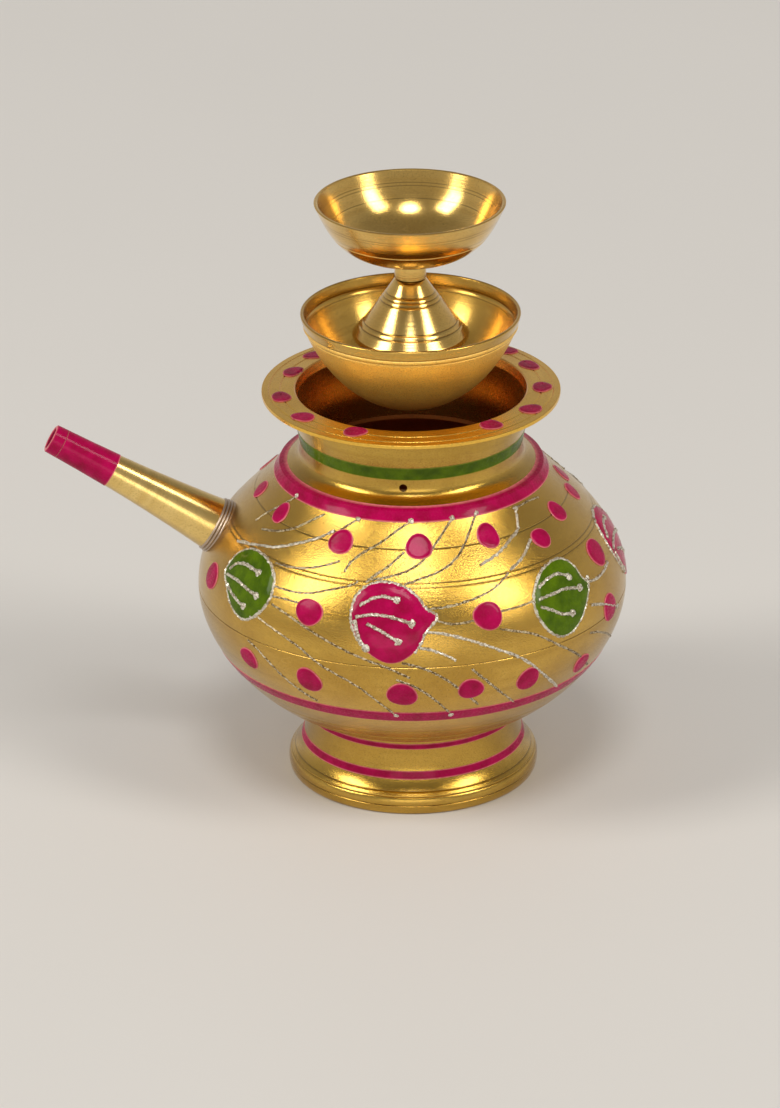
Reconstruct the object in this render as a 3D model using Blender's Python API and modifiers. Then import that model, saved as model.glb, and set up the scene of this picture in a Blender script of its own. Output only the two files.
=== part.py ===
"""Karwa lota: a spouted brass water pot, the katori that goes in its mouth, and a stemmed diya.

Metres, +Z up. The pot stands on Z = 0, its turning axis is vertical and its spout points along -X.
The origin is under the middle of the whole set, so the turning axis stands a little way along +X.
"""

import math

import bpy

MM = 0.001

# Joints between pieces of one pot
SEAM_GAP = 0.3 * MM

# Foot
FOOT_HEIGHT = 21.0 * MM
FOOT_WALL = 1.6 * MM
FOOT_WAIST_RADIUS = 30.2 * MM
FOOT_TOP_LIP = 0.5 * MM
FOOT_TOP_BAND = 2.6 * MM
FOOT_FLARE = 4.2 * MM
FOOT_BEAD = 0.8 * MM
FOOT_BEAD_TOP = 5.4 * MM
FOOT_BEAD_ROUND = 1.1 * MM
FOOT_BEAD_WIDTH = 1.9 * MM
FOOT_BEAD_UNDERCUT = 1.6 * MM
FOOT_SOLE_WIDTH = 2.4 * MM

# Belly, lower half
BELLY_RADIUS = 60.0 * MM
BELLY_WALL = 1.2 * MM
BASIN_DEPTH = 35.8 * MM
BASIN_SIDE_FULLNESS = 17.3 * MM
BASIN_FLOOR_FULLNESS = 9.2 * MM
BASIN_FLOOR_SLOPE = math.radians(10.0)
BASIN_FLOOR_DROP = 2.6 * MM

# Belly, upper half
SHOULDER_RISE = 36.3 * MM
SHOULDER_SIDE_FULLNESS = 19.0 * MM
SHOULDER_TOP_FULLNESS = 7.8 * MM
SHOULDER_TOP_SLOPE = math.radians(69.0)
SHELF_WIDTH = 3.9 * MM
SHELF_RISE = 1.2 * MM

# Neck
NECK_HEIGHT = 17.6 * MM
NECK_WALL = 1.4 * MM
NECK_WAIST_RADIUS = 30.9 * MM
NECK_WAIST_HEIGHT = 3.6 * MM
NECK_BASE_FLARE = 1.9 * MM
NECK_TOP_FLARE = 1.9 * MM
NECK_HOLE_RADIUS = 1.1 * MM
NECK_HOLE_HEIGHT = 4.2 * MM
NECK_HOLE_TURN = math.radians(-4.5)

# Mouth rim
RIM_WIDTH = 9.2 * MM
RIM_HUB_HEIGHT = 2.5 * MM
RIM_HUB_WIDTH = 2.2 * MM
RIM_EDGE = 1.1 * MM
RIM_EDGE_ROUND = 0.37 * MM
RIM_DROP = 0.5 * MM
RIM_BORE_FLARE = 0.8 * MM
RIM_GROOVE_WIDTH = 0.9 * MM
RIM_GROOVE_DEPTH = 0.25 * MM
RIM_GROOVE_INSET = 5.9 * MM

# Spout
SPOUT_LENGTH = 53.2 * MM
SPOUT_TILT = math.radians(30.5)
SPOUT_ROOT_RISE = 16.6 * MM
SPOUT_ROOT_RADIUS = 6.9 * MM
SPOUT_TIP_RADIUS = 3.85 * MM
SPOUT_WALL = 0.9 * MM
SPOUT_SPIGOT = 2.6 * MM
SPOUT_LIP_LENGTH = 3.4 * MM
SPOUT_COLLAR_WIDTH = 1.1 * MM
SPOUT_COLLAR_SKIRT = 2.0 * MM
SPOUT_RIDGE_PITCH = 0.9 * MM
SPOUT_RIDGE_HEIGHT = 0.35 * MM
SPOUT_RIDGES = 3

# Katori
KATORI_RADIUS = 30.4 * MM
KATORI_DEPTH = 27.4 * MM
KATORI_WALL = 1.0 * MM
KATORI_SIDE_LEAN = 4.5 * MM
KATORI_SIDE_FULLNESS = 12.7 * MM
KATORI_BASE_FULLNESS = 16.5 * MM
KATORI_STEP_DEPTH = 4.2 * MM
KATORI_STEP = 0.4 * MM
KATORI_RIM_ABOVE_MOUTH = 22.2 * MM

# Diya
DIYA_CUP_RADIUS = 26.3 * MM
DIYA_CUP_DEPTH = 16.8 * MM
DIYA_CUP_WALL = 1.0 * MM
DIYA_CUP_SIDE_LEAN = 3.9 * MM
DIYA_CUP_SIDE_FULLNESS = 8.4 * MM
DIYA_CUP_BASE_FULLNESS = 20.0 * MM
DIYA_STEM_RADIUS = 4.35 * MM
DIYA_STEM_LENGTH = 5.4 * MM
DIYA_STAND_RADIUS = 16.1 * MM
DIYA_STAND_HEIGHT = 17.0 * MM
DIYA_STAND_WALL = 1.2 * MM
DIYA_STAND_EDGE = 1.2 * MM
DIYA_STAND_PLATE = 2.0 * MM
DIYA_STUD_RADIUS = 1.7 * MM
DIYA_STUD_GRIP = 3.6 * MM
DIYA_STUD_HEAD_WIDTH = 1.2 * MM
DIYA_STUD_HEAD_HEIGHT = 1.2 * MM
DIYA_FOOT_BELOW_KATORI_RIM = 7.2 * MM

# Facets round each turned piece
POT_FACETS = 40
KATORI_FACETS = 36
DIYA_FACETS = 32
SPOUT_FACETS = 24
HOLE_FACETS = 12

# Facets along each curve of an outline
BELLY_STEPS = 9
FLOOR_STEPS = 4
FOOT_STEPS = 6
NECK_STEPS = 5
NECK_FILLET_STEPS = 3
KATORI_STEPS = 9
DIYA_CUP_STEPS = 10

# Heights and radii that several pieces share
EQUATOR_HEIGHT = FOOT_HEIGHT + BASIN_DEPTH
SHOULDER_TOP = EQUATOR_HEIGHT + SHOULDER_RISE
NECK_SEAT = SHOULDER_TOP + SHELF_RISE
NECK_BOTTOM = NECK_SEAT + SEAM_GAP
NECK_TOP = NECK_BOTTOM + NECK_HEIGHT
RIM_BOTTOM = NECK_TOP + SEAM_GAP
MOUTH_HEIGHT = RIM_BOTTOM + RIM_HUB_HEIGHT
FOOT_TOP_RADIUS = FOOT_WAIST_RADIUS + FOOT_TOP_LIP
NECK_BASE_RADIUS = NECK_WAIST_RADIUS + NECK_BASE_FLARE
NECK_TOP_RADIUS = NECK_WAIST_RADIUS + NECK_TOP_FLARE
NECK_BORE_RADIUS = NECK_WAIST_RADIUS - NECK_WALL
RIM_BORE_RADIUS = NECK_TOP_RADIUS - NECK_WALL
MOUTH_RADIUS = RIM_BORE_RADIUS + RIM_BORE_FLARE
KATORI_RIM_HEIGHT = MOUTH_HEIGHT + KATORI_RIM_ABOVE_MOUTH
DIYA_FOOT_HEIGHT = KATORI_RIM_HEIGHT - DIYA_FOOT_BELOW_KATORI_RIM


def clear_scene():
    """Remove every object that is already in the file."""
    for item in list(bpy.data.objects):
        bpy.data.objects.remove(item, do_unlink=True)


def new_collection(name):
    """Make a collection under the scene's own."""
    collection = bpy.data.collections.new(name)
    bpy.context.scene.collection.children.link(collection)
    return collection


def metal(name, colour, roughness, metallic=1.0):
    """Make a Principled material with one plain colour."""
    material = bpy.data.materials.new(name)
    material.use_nodes = True
    shader = material.node_tree.nodes["Principled BSDF"]
    shader.inputs["Base Color"].default_value = (*colour, 1.0)
    shader.inputs["Roughness"].default_value = roughness
    shader.inputs["Metallic"].default_value = metallic
    return material


def curve(start, first_handle, second_handle, end, steps):
    """Points along a cubic curve in the (radius, height) plane, both ends included."""
    points = []
    for index in range(steps + 1):
        t = index / steps
        weights = ((1 - t) ** 3, 3 * t * (1 - t) ** 2, 3 * t * t * (1 - t), t ** 3)
        corners = (start, first_handle, second_handle, end)
        radius = sum(weight * corner[0] for weight, corner in zip(weights, corners))
        height = sum(weight * corner[1] for weight, corner in zip(weights, corners))
        points.append((radius, height))
    return points


def inner_side(outline, wall):
    """The same outline moved in by the wall, for a profile that runs down its outer side."""
    moved = []
    last = len(outline) - 1
    for index, (radius, height) in enumerate(outline):
        before = outline[max(index - 1, 0)]
        after = outline[min(index + 1, last)]
        along_r = after[0] - before[0]
        along_z = after[1] - before[1]
        length = math.hypot(along_r, along_z)
        moved.append((radius + wall * along_z / length, height - wall * along_r / length))
    return moved


def height_at(outline, radius):
    """Height of an outline where it crosses a radius."""
    for (r0, z0), (r1, z1) in zip(outline, outline[1:]):
        if min(r0, r1) <= radius <= max(r0, r1) and r0 != r1:
            return z0 + (z1 - z0) * (radius - r0) / (r1 - r0)
    raise ValueError("the outline doesn't reach this radius")


def radius_at(outline, height):
    """Radius of an outline where it crosses a height."""
    for (r0, z0), (r1, z1) in zip(outline, outline[1:]):
        if min(z0, z1) <= height <= max(z0, z1) and z0 != z1:
            return r0 + (r1 - r0) * (height - z0) / (z1 - z0)
    raise ValueError("the outline doesn't reach this height")


def shoulder_outline():
    """Outer side of the upper belly, from the neck's bore down to the equator seam."""
    shelf_radius = NECK_BASE_RADIUS + SHELF_WIDTH
    shelf_edge = (shelf_radius, SHOULDER_TOP)
    seam = (BELLY_RADIUS, EQUATOR_HEIGHT + SEAM_GAP / 2)
    seam_handle = (BELLY_RADIUS, EQUATOR_HEIGHT + SHOULDER_SIDE_FULLNESS)
    fall_r = SHOULDER_TOP_FULLNESS * math.cos(SHOULDER_TOP_SLOPE)
    fall_z = SHOULDER_TOP_FULLNESS * math.sin(SHOULDER_TOP_SLOPE)
    shelf_handle = (shelf_radius + fall_r, SHOULDER_TOP - fall_z)
    flat = [(NECK_BORE_RADIUS, NECK_SEAT), (NECK_BASE_RADIUS, NECK_SEAT)]
    return flat + curve(shelf_edge, shelf_handle, seam_handle, seam, BELLY_STEPS)


def basin_outline():
    """Outer side of the lower belly, from the equator seam down to the middle of the floor."""
    seam = (BELLY_RADIUS, EQUATOR_HEIGHT - SEAM_GAP / 2)
    seam_handle = (BELLY_RADIUS, EQUATOR_HEIGHT - BASIN_SIDE_FULLNESS)
    joint = (FOOT_TOP_RADIUS, FOOT_HEIGHT)
    out_r = BASIN_FLOOR_FULLNESS * math.cos(BASIN_FLOOR_SLOPE)
    out_z = BASIN_FLOOR_FULLNESS * math.sin(BASIN_FLOOR_SLOPE)
    joint_handle = (FOOT_TOP_RADIUS + out_r, FOOT_HEIGHT + out_z)
    pole = (0.0, FOOT_HEIGHT - BASIN_FLOOR_DROP)
    floor_handle = (FOOT_TOP_RADIUS - BASIN_FLOOR_DROP / math.tan(BASIN_FLOOR_SLOPE), pole[1])
    side = curve(seam, seam_handle, joint_handle, joint, BELLY_STEPS)
    floor = curve(joint, floor_handle, floor_handle, pole, FLOOR_STEPS)
    return side + floor[1:]


def foot_outline(floor):
    """Closed outline of the hollow foot, seated under the belly's floor."""
    outer_top = (FOOT_TOP_RADIUS, height_at(floor, FOOT_TOP_RADIUS) - SEAM_GAP)
    inner_radius = FOOT_WAIST_RADIUS - FOOT_WALL
    inner_top = (inner_radius, height_at(floor, inner_radius) - SEAM_GAP)
    waist = (FOOT_WAIST_RADIUS, FOOT_HEIGHT - FOOT_TOP_BAND)
    flare_radius = FOOT_WAIST_RADIUS + FOOT_FLARE
    flare = (flare_radius, FOOT_BEAD_TOP)
    waist_handle = (waist[0], (waist[1] + 2 * flare[1]) / 3)
    flare_handle = (waist[0] + FOOT_FLARE / 2, flare[1] + FOOT_FLARE / 2)
    cavetto = curve(waist, waist_handle, flare_handle, flare, FOOT_STEPS)
    bead_radius = flare_radius + FOOT_BEAD
    bead_shoulder = FOOT_BEAD_TOP - FOOT_BEAD_ROUND
    bead_bottom = bead_shoulder - FOOT_BEAD_WIDTH
    bead = [
        (bead_radius, bead_shoulder),
        (bead_radius, bead_bottom),
        (flare_radius, bead_bottom - FOOT_BEAD_UNDERCUT),
        (flare_radius, 0.0),
    ]
    sole = [(flare_radius - FOOT_SOLE_WIDTH, 0.0)]
    inside = inner_side(cavetto, FOOT_WALL)
    return [outer_top] + cavetto + bead + sole + inside[:0:-1] + [inner_top]


def neck_outline():
    """Closed outline of the waisted neck."""
    waist_height = NECK_BOTTOM + NECK_WAIST_HEIGHT
    waist = (NECK_WAIST_RADIUS, waist_height)
    top = (NECK_TOP_RADIUS, NECK_TOP)
    base = (NECK_BASE_RADIUS, NECK_BOTTOM)
    top_handle = (NECK_TOP_RADIUS, (NECK_TOP + waist_height) / 2)
    waist_handle = (NECK_WAIST_RADIUS, (NECK_TOP + 2 * waist_height) / 3)
    sweep = curve(top, top_handle, waist_handle, waist, NECK_STEPS)
    fillet_handle = (NECK_WAIST_RADIUS, (waist_height + NECK_BOTTOM) / 2)
    fillet = curve(waist, fillet_handle, base, base, NECK_FILLET_STEPS)
    bore = [(radius - NECK_WALL, height) for radius, height in sweep]
    return sweep + fillet[1:] + [(NECK_BORE_RADIUS, NECK_BOTTOM)] + bore[::-1]


def rim_outline():
    """Closed outline of the flat rim round the mouth, with one turned groove in its top."""
    rim_radius = MOUTH_RADIUS + RIM_WIDTH
    fall = RIM_DROP / RIM_WIDTH
    lip_top = MOUTH_HEIGHT - RIM_DROP
    lip_bottom = lip_top - RIM_EDGE
    hub_radius = NECK_TOP_RADIUS + RIM_HUB_WIDTH
    groove_radius = rim_radius - RIM_GROOVE_INSET
    groove_side = RIM_GROOVE_WIDTH / 2

    def top_at(radius):
        return MOUTH_HEIGHT - (radius - MOUTH_RADIUS) * fall

    groove = [
        (groove_radius - groove_side, top_at(groove_radius - groove_side)),
        (groove_radius, top_at(groove_radius) - RIM_GROOVE_DEPTH),
        (groove_radius + groove_side, top_at(groove_radius + groove_side)),
    ]
    lip = [
        (rim_radius - RIM_EDGE_ROUND, lip_top),
        (rim_radius, lip_top - RIM_EDGE_ROUND),
        (rim_radius, lip_bottom + RIM_EDGE_ROUND),
        (rim_radius - RIM_EDGE_ROUND, lip_bottom),
    ]
    underside = [
        (hub_radius, lip_bottom),
        (NECK_TOP_RADIUS, RIM_BOTTOM),
        (RIM_BORE_RADIUS, RIM_BOTTOM),
    ]
    mouth = [(MOUTH_RADIUS, MOUTH_HEIGHT)]
    return mouth + groove + lip + underside


def spout_radius(distance):
    """Outer radius of the spout at a distance out from the belly along its axis."""
    return SPOUT_ROOT_RADIUS + (SPOUT_TIP_RADIUS - SPOUT_ROOT_RADIUS) * distance / SPOUT_LENGTH


def tapered_tube(far, near):
    """Closed outline of a length of the spout, from its far end down to its near end."""
    outer = [(spout_radius(far), far), (spout_radius(near), near)]
    bore = [(spout_radius(near) - SPOUT_WALL, near), (spout_radius(far) - SPOUT_WALL, far)]
    return outer + bore


def spout_collar_outline():
    """Closed outline of the ridged collar that covers the spout's seam."""
    top = SPOUT_RIDGE_PITCH * SPOUT_RIDGES + SEAM_GAP
    outer = []
    for ridge in range(SPOUT_RIDGES):
        crest = top - SPOUT_RIDGE_PITCH * (ridge + 0.5)
        valley = top - SPOUT_RIDGE_PITCH * (ridge + 1)
        widen = SPOUT_COLLAR_WIDTH * (ridge + 1) / SPOUT_RIDGES
        outer.append((spout_radius(crest) + SEAM_GAP + widen + SPOUT_RIDGE_HEIGHT, crest))
        outer.append((spout_radius(valley) + SEAM_GAP + widen, valley))
    skirt = -SPOUT_COLLAR_SKIRT
    outer.append((outer[-1][0], skirt))
    bore = [(spout_radius(height) + SEAM_GAP, height) for height in (skirt, top)]
    return outer + bore


def bowl_outline(outer, wall):
    """Outline of an open bowl, from the middle of its inside over the rim to its outer pole."""
    inside = inner_side(outer, wall)
    inside[0] = (outer[0][0] - wall, outer[0][1])
    inside[-1] = (0.0, outer[-1][1] + wall)
    return inside[::-1] + outer


def katori_outline():
    """Bowl whose upper wall stands out by a small turned step, inside and outside alike."""
    step_radius = KATORI_RADIUS - KATORI_STEP
    lean_at_step = KATORI_SIDE_LEAN * KATORI_STEP_DEPTH / KATORI_SIDE_FULLNESS / 2
    step = (step_radius - lean_at_step, -KATORI_STEP_DEPTH)
    side_handle = (KATORI_RADIUS - KATORI_SIDE_LEAN, -KATORI_SIDE_FULLNESS)
    pole = (0.0, -KATORI_DEPTH)
    base_handle = (KATORI_BASE_FULLNESS, -KATORI_DEPTH)
    band = [(KATORI_RADIUS, 0.0), (step[0] + KATORI_STEP, step[1] + KATORI_STEP)]
    side = curve(step, side_handle, base_handle, pole, KATORI_STEPS)
    return bowl_outline(band + side, KATORI_WALL)


def diya_cup_outline():
    """Cup with a short stem under it, bored from below for the stud."""
    rim = (DIYA_CUP_RADIUS, 0.0)
    side_handle = (DIYA_CUP_RADIUS - DIYA_CUP_SIDE_LEAN, -DIYA_CUP_SIDE_FULLNESS)
    base_handle = (DIYA_CUP_BASE_FULLNESS, -DIYA_CUP_DEPTH)
    pole = (0.0, -DIYA_CUP_DEPTH)
    outer = curve(rim, side_handle, base_handle, pole, DIYA_CUP_STEPS)
    shell = bowl_outline(outer, DIYA_CUP_WALL)
    stem_top = height_at(outer, DIYA_STEM_RADIUS)
    stem_bottom = -DIYA_CUP_DEPTH - DIYA_STEM_LENGTH
    socket_radius = DIYA_STUD_RADIUS + SEAM_GAP
    socket_top = stem_bottom + DIYA_STUD_GRIP + SEAM_GAP
    bowl = [point for point in shell[len(outer):] if point[0] > DIYA_STEM_RADIUS]
    stem = [
        (DIYA_STEM_RADIUS, stem_top),
        (DIYA_STEM_RADIUS, stem_bottom),
        (socket_radius, stem_bottom),
        (socket_radius, socket_top),
        (0.0, socket_top),
    ]
    return shell[:len(outer)] + bowl + stem


def diya_stand_outline():
    """Closed outline of the hollow cone that carries the cup, from its plate down to its open foot."""
    bore = DIYA_STUD_RADIUS + SEAM_GAP
    slope = (DIYA_STAND_RADIUS - DIYA_STEM_RADIUS) / (DIYA_STAND_HEIGHT - DIYA_STAND_EDGE)
    side_wall = DIYA_STAND_WALL * math.hypot(1.0, slope)
    plate_bottom = DIYA_STAND_HEIGHT - DIYA_STAND_PLATE
    plate_radius = DIYA_STEM_RADIUS + slope * DIYA_STAND_PLATE - side_wall
    return [
        (DIYA_STEM_RADIUS, DIYA_STAND_HEIGHT),
        (DIYA_STAND_RADIUS, DIYA_STAND_EDGE),
        (DIYA_STAND_RADIUS, 0.0),
        (DIYA_STAND_RADIUS - DIYA_STAND_WALL, 0.0),
        (DIYA_STAND_RADIUS - side_wall, DIYA_STAND_EDGE),
        (plate_radius, plate_bottom),
        (bore, plate_bottom),
        (bore, DIYA_STAND_HEIGHT),
    ]


def diya_stud_outline():
    """Headed stud, from its top inside the stem to its head under the stand's plate."""
    head_top = DIYA_STAND_HEIGHT - DIYA_STAND_PLATE - SEAM_GAP
    head_radius = DIYA_STUD_RADIUS + SEAM_GAP + DIYA_STUD_HEAD_WIDTH
    top = DIYA_STAND_HEIGHT + SEAM_GAP + DIYA_STUD_GRIP
    return [
        (0.0, top),
        (DIYA_STUD_RADIUS, top),
        (DIYA_STUD_RADIUS, head_top),
        (head_radius, head_top),
        (head_radius, head_top - DIYA_STUD_HEAD_HEIGHT),
        (0.0, head_top - DIYA_STUD_HEAD_HEIGHT),
    ]


def axis_empty(name, collection, location, parent=None):
    """Mark a turning axis with an empty that its pieces hang from."""
    empty = bpy.data.objects.new(name, None)
    empty.location = location
    empty.parent = parent
    collection.objects.link(empty)
    return empty


def turned(name, outline, collection, parent, facets, material=None):
    """Turn a (radius, height) outline round its parent's Z axis into a piece."""
    closed = outline[0][0] > 0.0
    count = len(outline)
    edges = [(index, index + 1) for index in range(count - 1)]
    if closed:
        edges.append((count - 1, 0))
    mesh = bpy.data.meshes.new(name)
    mesh.from_pydata([(radius, 0.0, height) for radius, height in outline], edges, [])
    piece = bpy.data.objects.new(name, mesh)
    piece.parent = parent
    collection.objects.link(piece)
    if material:
        mesh.materials.append(material)
    screw = piece.modifiers.new("turn", "SCREW")
    screw.axis = "Z"
    screw.angle = math.tau
    screw.steps = facets
    screw.render_steps = facets
    screw.use_merge_vertices = True
    screw.merge_threshold = 0.00001
    screw.use_smooth_shade = True
    return piece


def hide_cutter(cutter):
    """Show a cutter as wire and keep it out of renders."""
    cutter.hide_render = True
    cutter.display_type = "WIRE"
    return cutter


def cut(piece, cutter):
    """Take a cutter out of a piece."""
    boolean = piece.modifiers.new("cut_" + cutter.name, "BOOLEAN")
    boolean.operation = "DIFFERENCE"
    boolean.solver = "EXACT"
    boolean.object = cutter


def build_pot(parts, cutters, pot_axis, spout_axis, shoulder, materials):
    """Foot, belly, neck, rim and spout of the pot."""
    brass = materials["pot"]
    basin = basin_outline()
    turned("foot_ring", foot_outline(basin), parts, pot_axis, POT_FACETS, materials["foot"])
    turned("basin_shell", bowl_outline(basin, BELLY_WALL), parts, pot_axis, POT_FACETS, brass)
    inside = inner_side(shoulder, BELLY_WALL)
    inside[-1] = (BELLY_RADIUS - BELLY_WALL, shoulder[-1][1])
    ring = shoulder + inside[::-1]
    shell = turned("shoulder_shell", ring, parts, pot_axis, POT_FACETS, materials["shoulder"])
    neck = turned("neck_collar", neck_outline(), parts, pot_axis, POT_FACETS, materials["neck"])
    turned("mouth_rim", rim_outline(), parts, pot_axis, POT_FACETS, materials["rim"])

    drill = neck_drill(cutters, pot_axis)
    cut(neck, drill)

    tube_end = SPOUT_LENGTH - SPOUT_LIP_LENGTH
    tube = tapered_tube(tube_end - SEAM_GAP, -SPOUT_SPIGOT)
    turned("spout_tube", tube, parts, spout_axis, SPOUT_FACETS, materials["spout"])
    lip = tapered_tube(SPOUT_LENGTH, tube_end)
    turned("spout_lip_ring", lip, parts, spout_axis, SPOUT_FACETS, materials["tip"])
    ridges = spout_collar_outline()
    collar = turned("spout_root_collar", ridges, parts, spout_axis, SPOUT_FACETS, materials["collar"])

    reach = 2 * SPOUT_SPIGOT
    hole_outline = [(0.0, reach), (spout_radius(reach) + SEAM_GAP, reach)]
    hole_outline += [(spout_radius(-reach) + SEAM_GAP, -reach), (0.0, -reach)]
    hole = hide_cutter(turned("spout_hole", hole_outline, cutters, spout_axis, SPOUT_FACETS))
    cut(shell, hole)

    skin = inner_side(shoulder[1:], -SEAM_GAP)
    skin_outline = [(0.0, skin[0][1])] + skin + [(0.0, skin[-1][1])]
    belly_skin = hide_cutter(turned("belly_skin", skin_outline, cutters, pot_axis, POT_FACETS))
    cut(collar, belly_skin)


def neck_drill(cutters, pot_axis):
    """Round bar that drills the small hole through the front of the neck."""
    far = NECK_BASE_RADIUS + NECK_WALL
    near = NECK_BORE_RADIUS - NECK_WALL
    outline = [(0.0, far), (NECK_HOLE_RADIUS, far), (NECK_HOLE_RADIUS, near), (0.0, near)]
    drill = hide_cutter(turned("neck_drill", outline, cutters, pot_axis, HOLE_FACETS))
    drill.location = (0.0, 0.0, NECK_BOTTOM + NECK_HOLE_HEIGHT)
    drill.rotation_euler = (math.pi / 2, 0.0, NECK_HOLE_TURN)
    return drill


def build_katori(parts, katori_axis, materials):
    """The bowl that goes in the mouth."""
    turned("katori_bowl", katori_outline(), parts, katori_axis, KATORI_FACETS, materials["katori"])


def build_diya(parts, diya_axis, materials):
    """The oil cup, its cone stand and the stud that holds them together."""
    turned("diya_stand", diya_stand_outline(), parts, diya_axis, DIYA_FACETS, materials["stand"])
    turned("diya_stud", diya_stud_outline(), parts, diya_axis, DIYA_FACETS, materials["stud"])
    cup = turned("diya_cup", diya_cup_outline(), parts, diya_axis, DIYA_FACETS, materials["cup"])
    cup.location.z = DIYA_STAND_HEIGHT + SEAM_GAP + DIYA_STEM_LENGTH + DIYA_CUP_DEPTH


def main():
    """Build the whole set."""
    clear_scene()
    parts = new_collection("karwa_lota")
    cutters = new_collection("cutters")
    materials = {
        "foot": metal("brass_foot", (0.62, 0.42, 0.12), 0.24),
        "pot": metal("brass_basin", (0.66, 0.45, 0.13), 0.28),
        "shoulder": metal("brass_shoulder", (0.68, 0.47, 0.14), 0.28),
        "neck": metal("brass_neck", (0.64, 0.43, 0.12), 0.2),
        "rim": metal("brass_rim", (0.7, 0.49, 0.15), 0.22),
        "spout": metal("brass_spout", (0.72, 0.52, 0.17), 0.2),
        "collar": metal("silver_braze", (0.55, 0.48, 0.4), 0.4),
        "tip": metal("magenta_enamel", (0.55, 0.01, 0.16), 0.2, 0.0),
        "katori": metal("brass_katori", (0.66, 0.4, 0.08), 0.3),
        "stand": metal("brass_stand", (0.75, 0.57, 0.24), 0.18),
        "stud": metal("brass_stud", (0.6, 0.42, 0.14), 0.35),
        "cup": metal("brass_cup", (0.74, 0.54, 0.18), 0.16),
    }

    shoulder = shoulder_outline()
    root_height = EQUATOR_HEIGHT + SPOUT_ROOT_RISE
    root_radius = radius_at(shoulder, root_height)
    tip_reach = SPOUT_LENGTH * math.cos(SPOUT_TILT) + SPOUT_TIP_RADIUS * math.sin(SPOUT_TILT)
    axis_x = (root_radius + tip_reach - BELLY_RADIUS) / 2

    pot_axis = axis_empty("lota_axis", parts, (axis_x, 0.0, 0.0))
    spout_axis = axis_empty("spout_axis", parts, (-root_radius, 0.0, root_height), pot_axis)
    spout_axis.rotation_euler = (0.0, SPOUT_TILT - math.pi / 2, 0.0)
    katori_axis = axis_empty("katori_axis", parts, (0.0, 0.0, KATORI_RIM_HEIGHT), pot_axis)
    diya_axis = axis_empty("diya_axis", parts, (0.0, 0.0, DIYA_FOOT_HEIGHT), pot_axis)

    build_pot(parts, cutters, pot_axis, spout_axis, shoulder, materials)
    build_katori(parts, katori_axis, materials)
    build_diya(parts, diya_axis, materials)


if __name__ == "__main__":
    main()
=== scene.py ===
"""Looks of a brass karwa lota, its katori and its diya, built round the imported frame.

Lengths are metres in the frame's axes: +Z up, the spout towards -X, the viewer towards -Y.
"""

import logging
import math
from dataclasses import dataclass, field
from enum import Enum, IntEnum

import bpy
from mathutils import Euler, Matrix, Vector


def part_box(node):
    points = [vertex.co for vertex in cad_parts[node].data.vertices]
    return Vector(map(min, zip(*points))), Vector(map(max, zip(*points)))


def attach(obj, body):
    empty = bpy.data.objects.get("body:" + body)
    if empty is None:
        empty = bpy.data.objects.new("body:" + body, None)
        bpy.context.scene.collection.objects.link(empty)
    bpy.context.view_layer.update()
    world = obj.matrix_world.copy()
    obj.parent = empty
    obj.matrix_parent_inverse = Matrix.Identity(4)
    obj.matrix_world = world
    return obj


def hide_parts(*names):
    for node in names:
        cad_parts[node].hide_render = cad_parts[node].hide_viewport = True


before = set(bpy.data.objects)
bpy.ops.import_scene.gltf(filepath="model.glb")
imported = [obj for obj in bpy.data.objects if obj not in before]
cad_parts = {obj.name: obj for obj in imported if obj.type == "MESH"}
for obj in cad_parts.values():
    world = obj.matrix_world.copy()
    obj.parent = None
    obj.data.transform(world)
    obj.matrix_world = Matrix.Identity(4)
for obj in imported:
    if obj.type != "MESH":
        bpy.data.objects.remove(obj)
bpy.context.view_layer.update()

MM = 0.001
LOG = logging.getLogger("karwa_lota")
EDGE_HIGHLIGHT = "painted_edge_highlight"
EDGE_REACH = 0.06 * MM
MERGE = 0.004 * MM

Point = tuple[float, float]
Outline = list[Point]
Spot = tuple[float, float]
Place = tuple[float, float]
Range = tuple[float, float]
Pattern = tuple[float, float]
Colour = tuple[float, float, float]
Piece = bpy.types.Object
Material = bpy.types.Material
Materials = dict[str, Material]
Socket = bpy.types.NodeSocket
Tree = bpy.types.NodeTree


class Body(Enum):
    """Bodies of the frame that a piece can ride on."""

    LOTA = "lota"
    KATORI = "katori"
    DIYA = "diya"


class Slot(Enum):
    """Material slots of the record."""

    POT_BRASS = "pot_brass"
    KATORI_BRASS = "katori_brass"
    DIYA_BRASS = "diya_brass"
    BRAZE = "braze_metal"
    MAGENTA = "magenta_enamel"
    GREEN = "green_enamel"
    GLITTER = "silver_glitter"


class Side(Enum):
    """Sides of a thin wall that take different finishes."""

    OUTSIDE = 0
    INSIDE = 1


class Steps(IntEnum):
    """How finely the curves of an outline are sampled."""

    LIP = 6
    RIM = 8
    ROUND = 10
    FILLET = 18
    NECK = 24
    FOOT = 26
    BODY = 60


@dataclass(frozen=True)
class Axis:
    """A turning axis, with the local frame that its finishes follow."""

    origin: Vector
    tilt: float = 0.0

    @property
    def direction(self) -> Vector:
        """Unit vector along the axis."""
        return Vector((math.sin(self.tilt), 0.0, math.cos(self.tilt)))

    def point(self, radius: float, height: float) -> Vector:
        """Place of an outline point, on the far side of the axis."""
        return self.origin + self.direction * height + Vector((0.0, radius, 0.0))


def curve(start: Point, first: Point, second: Point, end: Point, steps: int) -> Outline:
    """Sample a cubic curve in the (radius, height) plane.

    Args:
        start: First end.
        first: Handle of the first end.
        second: Handle of the second end.
        end: Second end.
        steps: Number of pieces.

    Returns:
        The points, both ends included.
    """
    points = []
    for index in range(steps + 1):
        t = index / steps
        weights = ((1 - t) ** 3, 3 * t * (1 - t) ** 2, 3 * t * t * (1 - t), t ** 3)
        corners = (start, first, second, end)
        radius = sum(w * c[0] for w, c in zip(weights, corners))
        height = sum(w * c[1] for w, c in zip(weights, corners))
        points.append((radius, height))
    return points


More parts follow.
